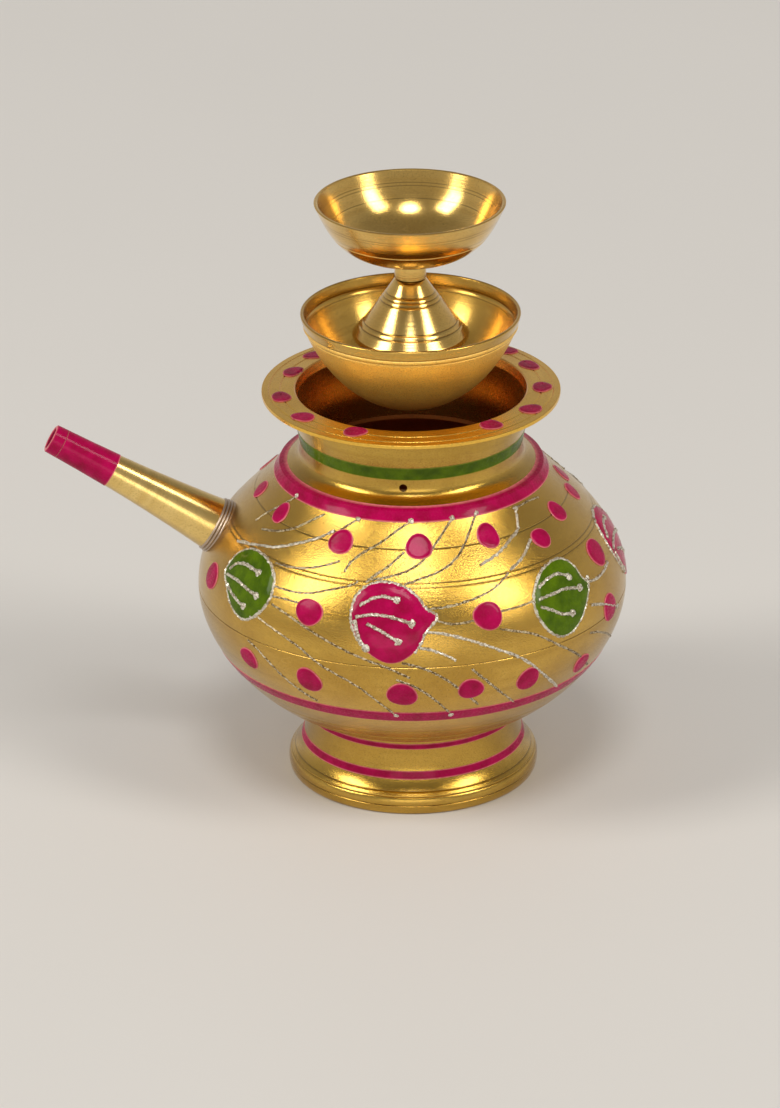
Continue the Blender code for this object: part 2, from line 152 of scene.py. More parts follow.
def offset(outline: Outline, distance: float) -> Outline:
    """Move an outline that runs down its outer side inwards by a distance.

    Args:
        outline: Points from top to bottom.
        distance: How far in, negative for outwards.

    Returns:
        The moved points.
    """
    moved = []
    last = len(outline) - 1
    for index, (radius, height) in enumerate(outline):
        before = outline[max(index - 1, 0)]
        after = outline[min(index + 1, last)]
        along_r = after[0] - before[0]
        along_z = after[1] - before[1]
        length = math.hypot(along_r, along_z) or 1.0
        moved.append((radius + distance * along_z / length, height - distance * along_r / length))
    return moved


def radius_at(outline: Outline, height: float) -> float:
    """Radius where an outline crosses a height.

    Args:
        outline: Points in order.
        height: Height to look for.

    Returns:
        The radius there, or that of the nearest end.
    """
    for (r0, z0), (r1, z1) in zip(outline, outline[1:]):
        if min(z0, z1) <= height <= max(z0, z1) and z0 != z1:
            return r0 + (r1 - r0) * (height - z0) / (z1 - z0)
    nearest = min(outline, key=lambda point: abs(point[1] - height))
    return nearest[0]


def engrave(outline: Outline, heights: tuple[float, ...], width: float, depth: float) -> Outline:
    """Cut small turned grooves into an outline that runs down its outer side.

    Args:
        outline: Points from top to bottom, each lower than the one before.
        heights: Middles of the grooves.
        width: Width of a groove.
        depth: Depth of a groove.

    Returns:
        The outline with four points for each groove in it.
    """
    for height in heights:
        top = height + width / 2
        bottom = height - width / 2
        places = ((top, 0.0), (height + width / 6, depth), (height - width / 6, depth), (bottom, 0.0))
        groove = [(radius_at(outline, z) - cut, z) for z, cut in places]
        above = [p for p in outline if p[1] > top]
        below = [p for p in outline if p[1] < bottom]
        outline = above + groove + below
    return outline


def stretch(outline: Outline, top: float, bottom: float) -> Outline:
    """Part of a falling outline between two heights, ends included."""
    middle = [p for p in outline if bottom < p[1] < top]
    return [(radius_at(outline, top), top)] + middle + [(radius_at(outline, bottom), bottom)]


def bowl_lining(side: Outline, wall: float, crown: float) -> Outline:
    """Draw the inside of a thin bowl and its rounded rim.

    Args:
        side: Outer side, from the edge down to the pole.
        wall: Thickness of the wall.
        crown: Height that the rim bends up to.

    Returns:
        Points from the pole up the inside and over the rim, up to the outer edge.
    """
    radius, edge = side[0]
    inner = offset(side, wall)
    inner[0] = (radius - wall, edge)
    inner[-1] = (0.0, side[-1][1] + wall)
    rim = curve(inner[0], (radius - wall, crown), (radius, crown), side[0], Steps.RIM)
    return inner[::-1] + rim[1:-1]


def facing(turn: float) -> Vector:
    """Level direction at a turn round an upright axis, 0 at the front and growing to the right."""
    return Vector((math.sin(turn), -math.cos(turn), 0.0))


class Bench:
    """Mesh operators that every piece is made with."""

    smooth_angle: float = math.radians(32.0)
    bit_sides: int = 48
    inward: float = -0.2

    @staticmethod
    def clear() -> None:
        """Leave edit mode and deselect everything."""
        if bpy.context.mode != "OBJECT":
            bpy.ops.object.mode_set(mode="OBJECT")
        bpy.ops.object.select_all(action="DESELECT")

    @staticmethod
    def chain(name: str, points: list[Vector]) -> Piece:
        """Draw a string of edges by extruding one corner from point to point.

        Args:
            name: Name of the new piece.
            points: Places of the corners.

        Returns:
            The piece, left in edit mode.
        """
        Bench.clear()
        bpy.ops.mesh.primitive_plane_add(size=MM, location=points[0])
        piece = bpy.context.object
        piece.name = name
        piece.data.name = name
        bpy.ops.object.transform_apply(location=True, rotation=True, scale=True)
        bpy.ops.object.mode_set(mode="EDIT")
        bpy.ops.mesh.select_all(action="SELECT")
        bpy.ops.mesh.merge(type="CENTER")
        for before, after in zip(points, points[1:]):
            bpy.ops.mesh.extrude_vertices_move(TRANSFORM_OT_translate={"value": after - before})
        return piece

    @staticmethod
    def weld() -> None:
        """Merge corners of the edited piece that lie on each other."""
        bpy.ops.mesh.select_all(action="SELECT")
        bpy.ops.mesh.remove_doubles(threshold=MERGE)

    @staticmethod
    def turn(name: str, outline: Outline, axis: Axis, segments: int) -> Piece:
        """Spin an outline round an axis into a closed piece.

        Args:
            name: Name of the new piece.
            outline: A closed outline, or one with both ends on the axis.
            axis: The turning axis.
            segments: Facets round the axis.

        Returns:
            The finished mesh object.
        """
        piece = Bench.chain(name, [axis.point(r, z) for r, z in outline])
        bpy.ops.mesh.select_all(action="SELECT")
        bpy.ops.mesh.spin(steps=segments, angle=math.tau, center=axis.origin, axis=axis.direction)
        Bench.weld()
        bpy.ops.mesh.normals_make_consistent(inside=False)
        bpy.ops.object.mode_set(mode="OBJECT")
        if sum(face.center.dot(face.normal) * face.area for face in piece.data.polygons) < 0.0:
            bpy.ops.object.mode_set(mode="EDIT")
            bpy.ops.mesh.flip_normals()
            bpy.ops.object.mode_set(mode="OBJECT")
        bpy.ops.object.shade_smooth_by_angle(angle=Bench.smooth_angle)
        return piece

    @staticmethod
    def apply(piece: Piece, kind: str, **settings: object) -> None:
        """Add one modifier to a piece and apply it.

        Args:
            piece: The piece to change.
            kind: Type of the modifier.
            **settings: Values of the modifier.
        """
        Bench.clear()
        piece.select_set(True)
        bpy.context.view_layer.objects.active = piece
        modifier = piece.modifiers.new(kind.lower(), kind)
        for key, value in settings.items():
            setattr(modifier, key, value)
        bpy.ops.object.modifier_apply(modifier=modifier.name)

    @staticmethod
    def drill(piece: Piece, place: Vector, along: Vector, radius: float, depth: float) -> None:
        """Bore a round hole through a wall.

        Args:
            piece: The piece to bore.
            place: Middle of the hole.
            along: Direction of the bore.
            radius: Radius of the hole.
            depth: Length of the bore.
        """
        Bench.clear()
        turn = along.to_track_quat("Z", "Y").to_euler()
        bpy.ops.mesh.primitive_cylinder_add(
            vertices=Bench.bit_sides, radius=radius, depth=depth, location=place, rotation=turn
        )
        bit = bpy.context.object
        Bench.apply(piece, "BOOLEAN", operation="DIFFERENCE", solver="EXACT", object=bit)
        bpy.data.objects.remove(bit, do_unlink=True)

    @staticmethod
    def join(name: str, pieces: list[Piece]) -> Piece:
        """Join several pieces into one.

        Args:
            name: Name of the joined piece.
            pieces: What to join.

        Returns:
            The joined piece.
        """
        Bench.clear()
        for piece in pieces:
            piece.select_set(True)
        bpy.context.view_layer.objects.active = pieces[0]
        bpy.ops.object.join()
        pieces[0].name = name
        pieces[0].data.name = name
        return pieces[0]

    @staticmethod
    def paint_sides(piece: Piece, centre: Vector, flat: bool) -> None:
        """Give the faces that look towards a centre the second material.

        Args:
            piece: The piece, with two material slots.
            centre: Point inside the hollow.
            flat: Whether only the distance from the upright axis counts.
        """
        for face in piece.data.polygons:
            out = face.center - centre
            if flat:
                out.z = 0.0
            looks_in = out.dot(face.normal) < Bench.inward * out.length
            face.material_index = Side.INSIDE.value if looks_in else Side.OUTSIDE.value


@dataclass
class Workshop:
    """Takes finished pieces over to the frame and keeps a list of them."""

    names: list[str] = field(default_factory=list)

    def fit(
        self, piece: Piece, body: Body, slot: Slot, materials: list[Material], nodes: tuple[str, ...] = ()
    ) -> None:
        """Dress a piece and let it ride on its body.

        Args:
            piece: The finished mesh.
            body: Body that it moves with.
            slot: Record slot of its finish; not used.
            materials: Its materials, in slot order.
            nodes: Solids of the frame that it stands for.
        """
        Bench.clear()
        piece.data.materials.clear()
        for material in materials:
            piece.data.materials.append(material)
        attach(piece, body.value)
        if nodes:
            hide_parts(*nodes)
        self.names.append(piece.name)
        LOG.info("%s: %d faces, rides on %s", piece.name, len(piece.data.polygons), body.value)


class Nodes:
    """Adds and joins the nodes of one material or node group."""

    def __init__(self, tree: Tree) -> None:
        """Keep the tree that nodes are added to."""
        self.tree = tree

    def add(self, kind: str, **settings: object) -> bpy.types.Node:
        """Add a node and set its own options.

        Args:
            kind: Type of the node.
            **settings: Options by name.

        Returns:
            The node.
        """
        node = self.tree.nodes.new(kind)
        for key, value in settings.items():
            setattr(node, key, value)
        return node

    def put(self, socket: Socket, value: object) -> None:
        """Join a socket to an output, or set it to a plain value.

        Args:
            socket: The input to fill.
            value: An output socket or a plain value.
        """
        if isinstance(value, Socket):
            self.tree.links.new(value, socket)
        else:
            socket.default_value = value

    def math(self, operation: str, first: object, second: object = 0.0) -> Socket:
        """Join two values in one Math node.

        Args:
            operation: What the node does.
            first: First value.
            second: Second value.

        Returns:
            The result.
        """
        node = self.add("ShaderNodeMath", operation=operation)
        self.put(node.inputs[0], first)
        self.put(node.inputs[1], second)
        return node.outputs[0]

    def spread(self, value: object, low: float, high: float, to_low: float, to_high: float) -> Socket:
        """Move a value from one range to another and hold it inside.

        Args:
            value: The value.
            low: Low end of its range.
            high: High end of its range.
            to_low: Low end of the new range.
            to_high: High end of the new range.

        Returns:
            The moved value.
        """
        node = self.add("ShaderNodeMapRange", clamp=True)
        for socket, item in zip(node.inputs, (value, low, high, to_low, to_high)):
            self.put(socket, item)
        return node.outputs[0]

    def mix(self, factor: object, first: object, second: object, blend: str = "MIX") -> Socket:
        """Blend two colours.

        Args:
            factor: Share of the second colour.
            first: First colour.
            second: Second colour.
            blend: How they blend.

        Returns:
            The blended colour.
        """
        node = self.add("ShaderNodeMix", data_type="RGBA", blend_type=blend)
        self.put(node.inputs["Factor"], factor)
        colours = [s for s in node.inputs if s.type == "RGBA"]
        self.put(colours[0], (*first, 1.0) if isinstance(first, tuple) else first)
        self.put(colours[1], (*second, 1.0) if isinstance(second, tuple) else second)
        return [s for s in node.outputs if s.type == "RGBA"][0]

    def noise(self, vector: Socket, scale: object, detail: float, roughness: float = 0.5) -> Socket:
        """Add a noise texture.

        Args:
            vector: Place that it reads.
            scale: How fine it is.
            detail: Number of finer layers.
            roughness: Weight of the finer layers.

        Returns:
            Its value.
        """
        node = self.add("ShaderNodeTexNoise")
        self.put(node.inputs["Vector"], vector)
        self.put(node.inputs["Scale"], scale)
        self.put(node.inputs["Detail"], detail)
        self.put(node.inputs["Roughness"], roughness)
        return node.outputs[0]

    def local(self, axis: Axis) -> Socket:
        """Turn Object coordinates into an axis's own frame, with Z along it.

        Args:
            axis: The turning axis.

        Returns:
            The place in that frame.
        """
        mapping = self.add("ShaderNodeMapping", vector_type="TEXTURE")
        mapping.inputs["Location"].default_value = axis.origin
        mapping.inputs["Rotation"].default_value = (0.0, axis.tilt, 0.0)
        self.tree.links.new(self.add("ShaderNodeTexCoord").outputs["Object"], mapping.inputs["Vector"])
        return mapping.outputs["Vector"]

    def group(self, tree: Tree, **values: object) -> bpy.types.Node:
        """Place a node group and set its inputs by name.

        Args:
            tree: The group.
            **values: Values of its inputs, by name in small letters.

        Returns:
            The group's node.
        """
        node = self.add("ShaderNodeGroup", node_tree=tree)
        for key, value in values.items():
            self.put(node.inputs[key.title()], value)
        return node

    def bump(self, shader: bpy.types.Node, height: Socket) -> None:
        """Raise a shader's surface by a height in metres.

        Args:
            shader: The shader.
            height: How far the surface stands out.
        """
        node = self.add("ShaderNodeBump")
        node.inputs["Strength"].default_value = 1.0
        node.inputs["Distance"].default_value = 1.0
        self.put(node.inputs["Height"], height)
        self.put(shader.inputs["Normal"], node.outputs["Normal"])


def blank(name: str) -> tuple[Material, Nodes, bpy.types.Node]:
    """Start a material.

    Args:
        name: Name of the material.

    Returns:
        The material, its nodes and its shader.
    """
    made = bpy.data.materials.new(name)
    made.use_nodes = True
    return made, Nodes(made.node_tree), made.node_tree.nodes["Principled BSDF"]


class Effects:
    """Node groups that several finishes share, with the sizes of their patterns."""

    ring_lean: float = 0.7
    ring_wander: float = 0.6 * MM
    wander: Pattern = (45.0, 2.0)
    lines: Pattern = (1.0, 3.0)
    bands: Pattern = (0.08, 2.0)
    blotches: Pattern = (1.0, 5.0)
    grain: Pattern = (46.0, 3.0)
    fine_weight: float = 0.6
    scratch_share: float = 4.0
    scratch_bend: float = 0.05
    scratch_bend_scale: float = 30.0
    scratch_width: float = 0.012

    def __init__(self) -> None:
        """Build every group once."""
        self.turned_lines = self._turned_lines()
        self.handling = self._handling()

    @staticmethod
    def _new(name: str, inputs: tuple[tuple[str, str], ...], outputs: tuple[str, ...]) -> Tree:
        """Make an empty group with named sockets.

        Args:
            name: Name of the group.
            inputs: Name and socket type of each input.
            outputs: Names of the value outputs.

        Returns:
            The group.
        """
        tree = bpy.data.node_groups.new(name, "ShaderNodeTree")
        for label, kind in inputs:
            tree.interface.new_socket(name=label, in_out="INPUT", socket_type=kind)
        for label in outputs:
            tree.interface.new_socket(name=label, in_out="OUTPUT", socket_type="NodeSocketFloat")
        return tree

    @staticmethod
    def _turned_lines() -> Tree:
        """Fine rings that a lathe tool leaves, on walls and on flat rims alike.

        Returns:
            The group, with inputs Vector and Density and outputs Lines and Bands.
        """
        inputs = (("Vector", "NodeSocketVector"), ("Density", "NodeSocketFloat"))
        tree = Effects._new("turned_lines", inputs, ("Lines", "Bands"))
        nodes = Nodes(tree)
        given = nodes.add("NodeGroupInput").outputs
        result = nodes.add("NodeGroupOutput").inputs
        flat = nodes.add("ShaderNodeVectorMath", operation="MULTIPLY")
        nodes.put(flat.inputs[0], given["Vector"])
        nodes.put(flat.inputs[1], (1.0, 1.0, 0.0))
        length = nodes.add("ShaderNodeVectorMath", operation="LENGTH")
        nodes.put(length.inputs[0], flat.outputs[0])
        apart = nodes.add("ShaderNodeSeparateXYZ")
        nodes.put(apart.inputs[0], given["Vector"])
        across = nodes.math("MULTIPLY", length.outputs["Value"], Effects.ring_lean)
        along = nodes.math("ADD", apart.outputs["Z"], across)
        drift = nodes.noise(given["Vector"], *Effects.wander)
        wander = nodes.math("MULTIPLY", drift, Effects.ring_wander)
        place = nodes.math("MULTIPLY", nodes.math("ADD", along, wander), given["Density"])
        for label, (share, detail) in (("Lines", Effects.lines), ("Bands", Effects.bands)):
            rings = nodes.add("ShaderNodeTexNoise", noise_dimensions="1D")
            nodes.put(rings.inputs["W"], nodes.math("MULTIPLY", place, share))
            nodes.put(rings.inputs["Scale"], 1.0)
            nodes.put(rings.inputs["Detail"], detail)
            nodes.put(result[label], rings.outputs[0])
        return tree

    @staticmethod
    def _handling() -> Tree:
        """Blotches, fine grain and hair scratches of handled metal.

        Returns:
            The group, with inputs Vector and Scale and outputs Blotch, Grain and Scratch.
        """
        inputs = (("Vector", "NodeSocketVector"), ("Scale", "NodeSocketFloat"))
        tree = Effects._new("handling", inputs, ("Blotch", "Grain", "Scratch"))
        nodes = Nodes(tree)
        given = nodes.add("NodeGroupInput").outputs
        result = nodes.add("NodeGroupOutput").inputs
        for label, (share, detail) in (("Blotch", Effects.blotches), ("Grain", Effects.grain)):
            scale = nodes.math("MULTIPLY", given["Scale"], share)
            nodes.put(result[label], nodes.noise(given["Vector"], scale, detail, Effects.fine_weight))
        web = nodes.add("ShaderNodeTexVoronoi", feature="DISTANCE_TO_EDGE")
        bent = nodes.add("ShaderNodeVectorMath", operation="MULTIPLY_ADD")
        warp = nodes.add("ShaderNodeTexNoise")
        nodes.put(warp.inputs["Vector"], given["Vector"])
        nodes.put(warp.inputs["Scale"], Effects.scratch_bend_scale)
        nodes.put(bent.inputs[0], warp.outputs["Color"])
        nodes.put(bent.inputs[1], (Effects.scratch_bend,) * 3)
        nodes.put(bent.inputs[2], given["Vector"])
        nodes.put(web.inputs["Vector"], bent.outputs[0])
        nodes.put(web.inputs["Scale"], nodes.math("MULTIPLY", given["Scale"], Effects.scratch_share))
        scratch = nodes.spread(web.outputs["Distance"], 0.0, Effects.scratch_width, 1.0, 0.0)
        nodes.put(result["Scratch"], scratch)
        return tree


@dataclass(frozen=True)
class Brass:
    """Turned brass with lathe lines, uneven polish and light wear."""

    name: str
    colour: Colour
    shade: Colour
    polish: float = 0.14
    dull: float = 0.3
    line_density: float = 3500.0
    line_depth: float = 0.012 * MM
    dent_scale: float = 42.0
    dent_depth: float = 0.25 * MM
    grain_depth: float = 0.004 * MM
    wear_scale: float = 60.0
    speckle: float = 0.5
    lacquer: float = 0.5
    metallic: float = 1.0
    rings: tuple[float, ...] = ()
    ring_width: float = 0.12 * MM
    ring_tone: float = 0.6
    blotch_range: Range = (0.38, 0.66)
    blotch_tone: float = 0.7
    blotch_roughness: float = 0.05
    band_range: Range = (0.35, 0.7)
    band_tone: float = 0.55
    scratch_tone: float = 0.35
    pale_gain: float = 1.12
    pale_lift: float = 0.05
    dark_gain: float = 0.42
    fleck_range: Range = (0.5, 0.72)
    grain_range: Range = (0.3, 0.75)

    def material(self, effects: Effects, axis: Axis) -> Material:
        """Build the finish for pieces turned on one axis.

        Args:
            effects: Shared node groups.
            axis: Turning axis of the pieces.

        Returns:
            The material.
        """
        made, nodes, shader = blank(self.name)
        shader.inputs["Metallic"].default_value = self.metallic
        shader.inputs["Coat Weight"].default_value = self.lacquer
        shader.inputs["Coat Roughness"].default_value = self.dull
        place = nodes.local(axis)
        lines = nodes.group(effects.turned_lines, vector=place, density=self.line_density)
        marks = nodes.group(effects.handling, vector=place, scale=self.wear_scale)
        dull = nodes.spread(marks.outputs["Blotch"], *self.blotch_range, 0.0, 1.0)
        bands = nodes.spread(lines.outputs["Bands"], *self.band_range, 0.0, self.band_tone)
        tone = nodes.math("MAXIMUM", nodes.math("MULTIPLY", dull, self.blotch_tone), bands)
        colour = nodes.mix(tone, self.colour, self.shade)
        pale = tuple(min(1.0, channel * self.pale_gain + self.pale_lift) for channel in self.colour)
        scratch = nodes.math("MULTIPLY", marks.outputs["Scratch"], self.scratch_tone)
        colour = nodes.mix(scratch, colour, pale)
        dark = tuple(channel * self.dark_gain for channel in self.shade)
        fleck = nodes.spread(marks.outputs["Grain"], *self.fleck_range, 0.0, self.speckle)
        colour = nodes.mix(fleck, colour, dark)
        height_here = nodes.add("ShaderNodeSeparateXYZ")
        nodes.put(height_here.inputs[0], place)
        for ring in self.rings:
            line = nodes.math("COMPARE", height_here.outputs["Z"], ring)
            line.node.inputs[2].default_value = self.ring_width
            colour = nodes.mix(nodes.math("MULTIPLY", line, self.ring_tone), colour, dark)
        nodes.put(shader.inputs["Base Color"], colour)
        rough = nodes.spread(marks.outputs["Grain"], *self.grain_range, self.polish, self.dull)
        rough = nodes.math("ADD", rough, nodes.math("MULTIPLY", dull, self.blotch_roughness))
        nodes.put(shader.inputs["Roughness"], rough)
        rings = nodes.math("MULTIPLY", lines.outputs["Lines"], self.line_depth)
        dents = nodes.math("MULTIPLY", nodes.noise(place, self.dent_scale, 1.0), self.dent_depth)
        pits = nodes.math("MULTIPLY", marks.outputs["Grain"], self.grain_depth)
        height = nodes.math("ADD", nodes.math("ADD", rings, dents), pits)
        nodes.bump(shader, height)
        return made


@dataclass(frozen=True)
class Enamel:
    """Glossy brush-laid paint, thinner at its edge, with a pale highlight painted along that edge."""

    name: str
    colour: Colour
    deep: Colour
    # edge: colour of the highlight painted along the paint's edge
    edge: Colour
    roughness_low: float = 0.16
    roughness_high: float = 0.34
    specular: float = 0.05
    gloss: float = 0.17
    gloss_roughness: float = 0.09
    pools: Pattern = (260.0, 3.0)
    pool_range: Range = (0.35, 0.68)
    strokes: Pattern = (900.0, 2.0)
    stroke_range: Range = (0.3, 0.6)
    stroke_low: float = 0.55
    grain: Pattern = (1500.0, 2.0)
    grain_range: Range = (0.3, 0.7)
    ripples: Pattern = (420.0, 3.0)
    ripple: float = 0.05 * MM

    def material(self) -> Material:
        """Build the finish.

        Returns:
            The material.
        """
        made, nodes, shader = blank(self.name)
        shader.inputs["Specular IOR Level"].default_value = self.specular
        shader.inputs["Coat Weight"].default_value = self.gloss
        shader.inputs["Coat Roughness"].default_value = self.gloss_roughness
        place = nodes.add("ShaderNodeTexCoord").outputs["Object"]
        pools = nodes.spread(nodes.noise(place, *self.pools), *self.pool_range, 0.0, 1.0)
        colour = nodes.mix(pools, self.colour, self.deep)
        # Painted highlight: corners on the paint's edge blend towards the pale edge colour, unevenly along
        # the brush strokes.
        thin = nodes.add("ShaderNodeAttribute", attribute_name=EDGE_HIGHLIGHT).outputs["Fac"]
        strokes = nodes.spread(nodes.noise(place, *self.strokes), *self.stroke_range, self.stroke_low, 1.0)
        edge_highlight = nodes.math("MULTIPLY", thin, strokes)
        nodes.put(shader.inputs["Base Color"], nodes.mix(edge_highlight, colour, self.edge))
        fine = nodes.noise(place, *self.grain)
        rough = nodes.spread(fine, *self.grain_range, self.roughness_low, self.roughness_high)
        nodes.put(shader.inputs["Roughness"], rough)
        height = nodes.math("MULTIPLY", nodes.noise(place, *self.ripples), self.ripple)
        nodes.bump(shader, height)
        return made


@dataclass(frozen=True)
class Glitter:
    """Raised line of clear gum full of silver flakes."""

    name: str
    bright: Colour
    dark: Colour
    flakes: float = 2600.0
    share: float = 0.4
    flake_height: float = 0.12 * MM
    below: float = 0.15
    above: float = 0.25
    roughness: Range = (0.25, 0.6)
    metal_range: Range = (0.2, 0.6)
    metallic: Range = (0.35, 0.9)

    def material(self) -> Material:
        """Build the finish.

        Returns:
            The material.
        """
        made, nodes, shader = blank(self.name)
        place = nodes.add("ShaderNodeTexCoord").outputs["Object"]
        cells = nodes.add("ShaderNodeTexVoronoi")
        nodes.put(cells.inputs["Vector"], place)
        nodes.put(cells.inputs["Scale"], self.flakes)
        lit = nodes.add("ShaderNodeSeparateColor")
        nodes.put(lit.inputs[0], cells.outputs["Color"])
        tone = nodes.spread(lit.outputs[0], self.share - self.below, self.share + self.above, 0.0, 1.0)
        nodes.put(shader.inputs["Base Color"], nodes.mix(tone, self.dark, self.bright))
        nodes.put(shader.inputs["Roughness"], nodes.spread(lit.outputs[1], 0.0, 1.0, *self.roughness))
        metallic = nodes.spread(lit.outputs[2], *self.metal_range, *self.metallic)
        nodes.put(shader.inputs["Metallic"], metallic)
        height = nodes.math("MULTIPLY", lit.outputs[0], self.flake_height)
        nodes.bump(shader, height)
        return made


def mark_highlight_edges(piece: Piece, edges: set[int]) -> None:
    """Store which corners of a painted piece lie on its edge, where the pale highlight is painted.

    Args:
        piece: The painted piece.
        edges: Numbers of the corners on the edge.
    """
    layer = piece.data.attributes.new(EDGE_HIGHLIGHT, "FLOAT", "POINT")
    for index in range(len(piece.data.vertices)):
        layer.data[index].value = 1.0 if index in edges else 0.0


@dataclass(frozen=True)
class PhotoView:
    """Camera that sees the set as the photograph does."""

    width: float = 780.0
    height: float = 1108.0
    axis_column: float = 412.0
    aim_height: float = 64.2 * MM
    elevation: float = math.radians(24.0)
    roll: float = math.radians(-0.45)
    distance_in_pixels: float = 5500.0
    pixel: float = 0.28037 * MM
    sensor: float = 36.0

    def matrix(self, axis: Axis) -> Matrix:
        """Place and turn of the camera.

        Args:
            axis: Turning axis of the pot.

        Returns:
            The camera's world matrix.
        """
        aside = (self.axis_column - self.width / 2) * self.pixel
        aim = Vector((axis.origin.x - aside, axis.origin.y, self.aim_height))
        turn = Euler((math.pi / 2 - self.elevation, 0.0, 0.0)).to_matrix()
        back = turn @ Vector((0.0, 0.0, self.distance_in_pixels * self.pixel))
        rolled = turn @ Matrix.Rotation(self.roll, 3, "Z")
        return Matrix.Translation(aim + back) @ rolled.to_4x4()

    def ray(self, axis: Axis, spot: Spot) -> tuple[Vector, Vector]:
        """Line of sight through a point of the picture.

        Args:
            axis: Turning axis of the pot.
            spot: Column and row in the picture.

        Returns:
            The eye and the direction.
        """
        matrix = self.matrix(axis)
        across = spot[0] - self.width / 2
        down = spot[1] - self.height / 2
        sight = Vector((across, -down, -self.distance_in_pixels)).normalized()
        return matrix.translation, matrix.to_3x3() @ sight

    def build(self, axis: Axis) -> None:
        """Add the camera to the scene.

        Args:
            axis: Turning axis of the pot.
        """
        data = bpy.data.cameras.new("photo_view")
        data.sensor_width = self.sensor
        data.sensor_fit = "AUTO"
        data.lens = self.sensor * self.distance_in_pixels / self.height
        camera = bpy.data.objects.new("photo_view", data)
        camera.matrix_world = self.matrix(axis)
        bpy.context.scene.collection.objects.link(camera)
        bpy.context.scene.camera = camera


@dataclass(frozen=True)
class Softbox:
    """One studio lamp with a plain white face."""

    name: str
    place: tuple[float, float, float]
    size: tuple[float, float]
    power: float
    colour: Colour = (1.0, 0.97, 0.92)

    def build(self, aim: Vector) -> None:
        """Add the lamp, turned to a point.

        Args:
            aim: The point.
        """
        data = bpy.data.lights.new(self.name, "AREA")
        data.shape = "RECTANGLE"
        data.size, data.size_y = self.size
        data.energy = self.power
        data.color = self.colour
        lamp = bpy.data.objects.new(self.name, data)
        lamp.location = self.place
        lamp.rotation_euler = (Vector(self.place) - aim).to_track_quat("Z", "Y").to_euler()
        bpy.context.scene.collection.objects.link(lamp)


@dataclass
class Studio:
    """Plain pale floor, soft lamps and an even surround."""

    floor_size: float = 9.0
    floor_colour: Colour = (0.7, 0.68, 0.65)
    floor_shade: Colour = (0.66, 0.64, 0.61)
    floor_roughness: float = 0.6
    floor_cloud: Pattern = (3.0, 3.0)
    sky: Colour = (0.24, 0.23, 0.22)
    horizon: Colour = (0.6, 0.57, 0.53)
    sky_rise: float = 0.8
    lamps: tuple[Softbox, ...] = (
        Softbox("left_softbox", (-2.38, -0.9, 2.25), (1.05, 1.75), 45.0),
        Softbox("right_softbox", (2.15, -1.25, 2.25), (0.9, 1.75), 38.0),
        Softbox("front_fill", (0.0, -1.7, 0.3), (1.4, 0.5), 3.2),
    )
    sky_light: float = 0.8
    sky_light_width: float = math.radians(18.0)
    sky_light_lean: float = math.radians(26.0)

    def build(self, aim: Vector) -> None:
        """Build floor, lamps and surround.

        Args:
            aim: Point that the lamps look at.
        """
        self._floor()
        for lamp in self.lamps:
            lamp.build(aim)
        self._sky_light()
        self._surround()
        bpy.context.scene.view_settings.view_transform = "Standard"

    def _floor(self) -> None:
        """Lay the floor."""
        Bench.clear()
        bpy.ops.mesh.primitive_plane_add(size=self.floor_size)
        floor = bpy.context.object
        floor.name = "studio_floor"
        made, nodes, shader = blank(floor.name)
        shader.inputs["Roughness"].default_value = self.floor_roughness
        place = nodes.add("ShaderNodeTexCoord").outputs["Object"]
        cloud = nodes.noise(place, *self.floor_cloud)
        nodes.put(shader.inputs["Base Color"], nodes.mix(cloud, self.floor_colour, self.floor_shade))
        floor.data.materials.append(made)

    def _sky_light(self) -> None:
        """Hang one even, soft light overhead."""
        data = bpy.data.lights.new("sky_light", "SUN")
        data.energy = self.sky_light
        data.angle = self.sky_light_width
        lamp = bpy.data.objects.new("sky_light", data)
        lamp.rotation_euler = (self.sky_light_lean, 0.0, 0.0)
        bpy.context.scene.collection.objects.link(lamp)

    def _surround(self) -> None:
        """Light the scene evenly, a little brighter near the horizon."""
        world = bpy.data.worlds.new("studio")
        bpy.context.scene.world = world
        world.use_nodes = True
        nodes = Nodes(world.node_tree)
        apart = nodes.add("ShaderNodeSeparateXYZ")
        nodes.put(apart.inputs[0], nodes.add("ShaderNodeTexCoord").outputs["Generated"])
        rise = nodes.spread(apart.outputs["Z"], 0.0, self.sky_rise, 0.0, 1.0)
        background = world.node_tree.nodes["Background"]
        nodes.put(background.inputs["Color"], nodes.mix(rise, self.horizon, self.sky))


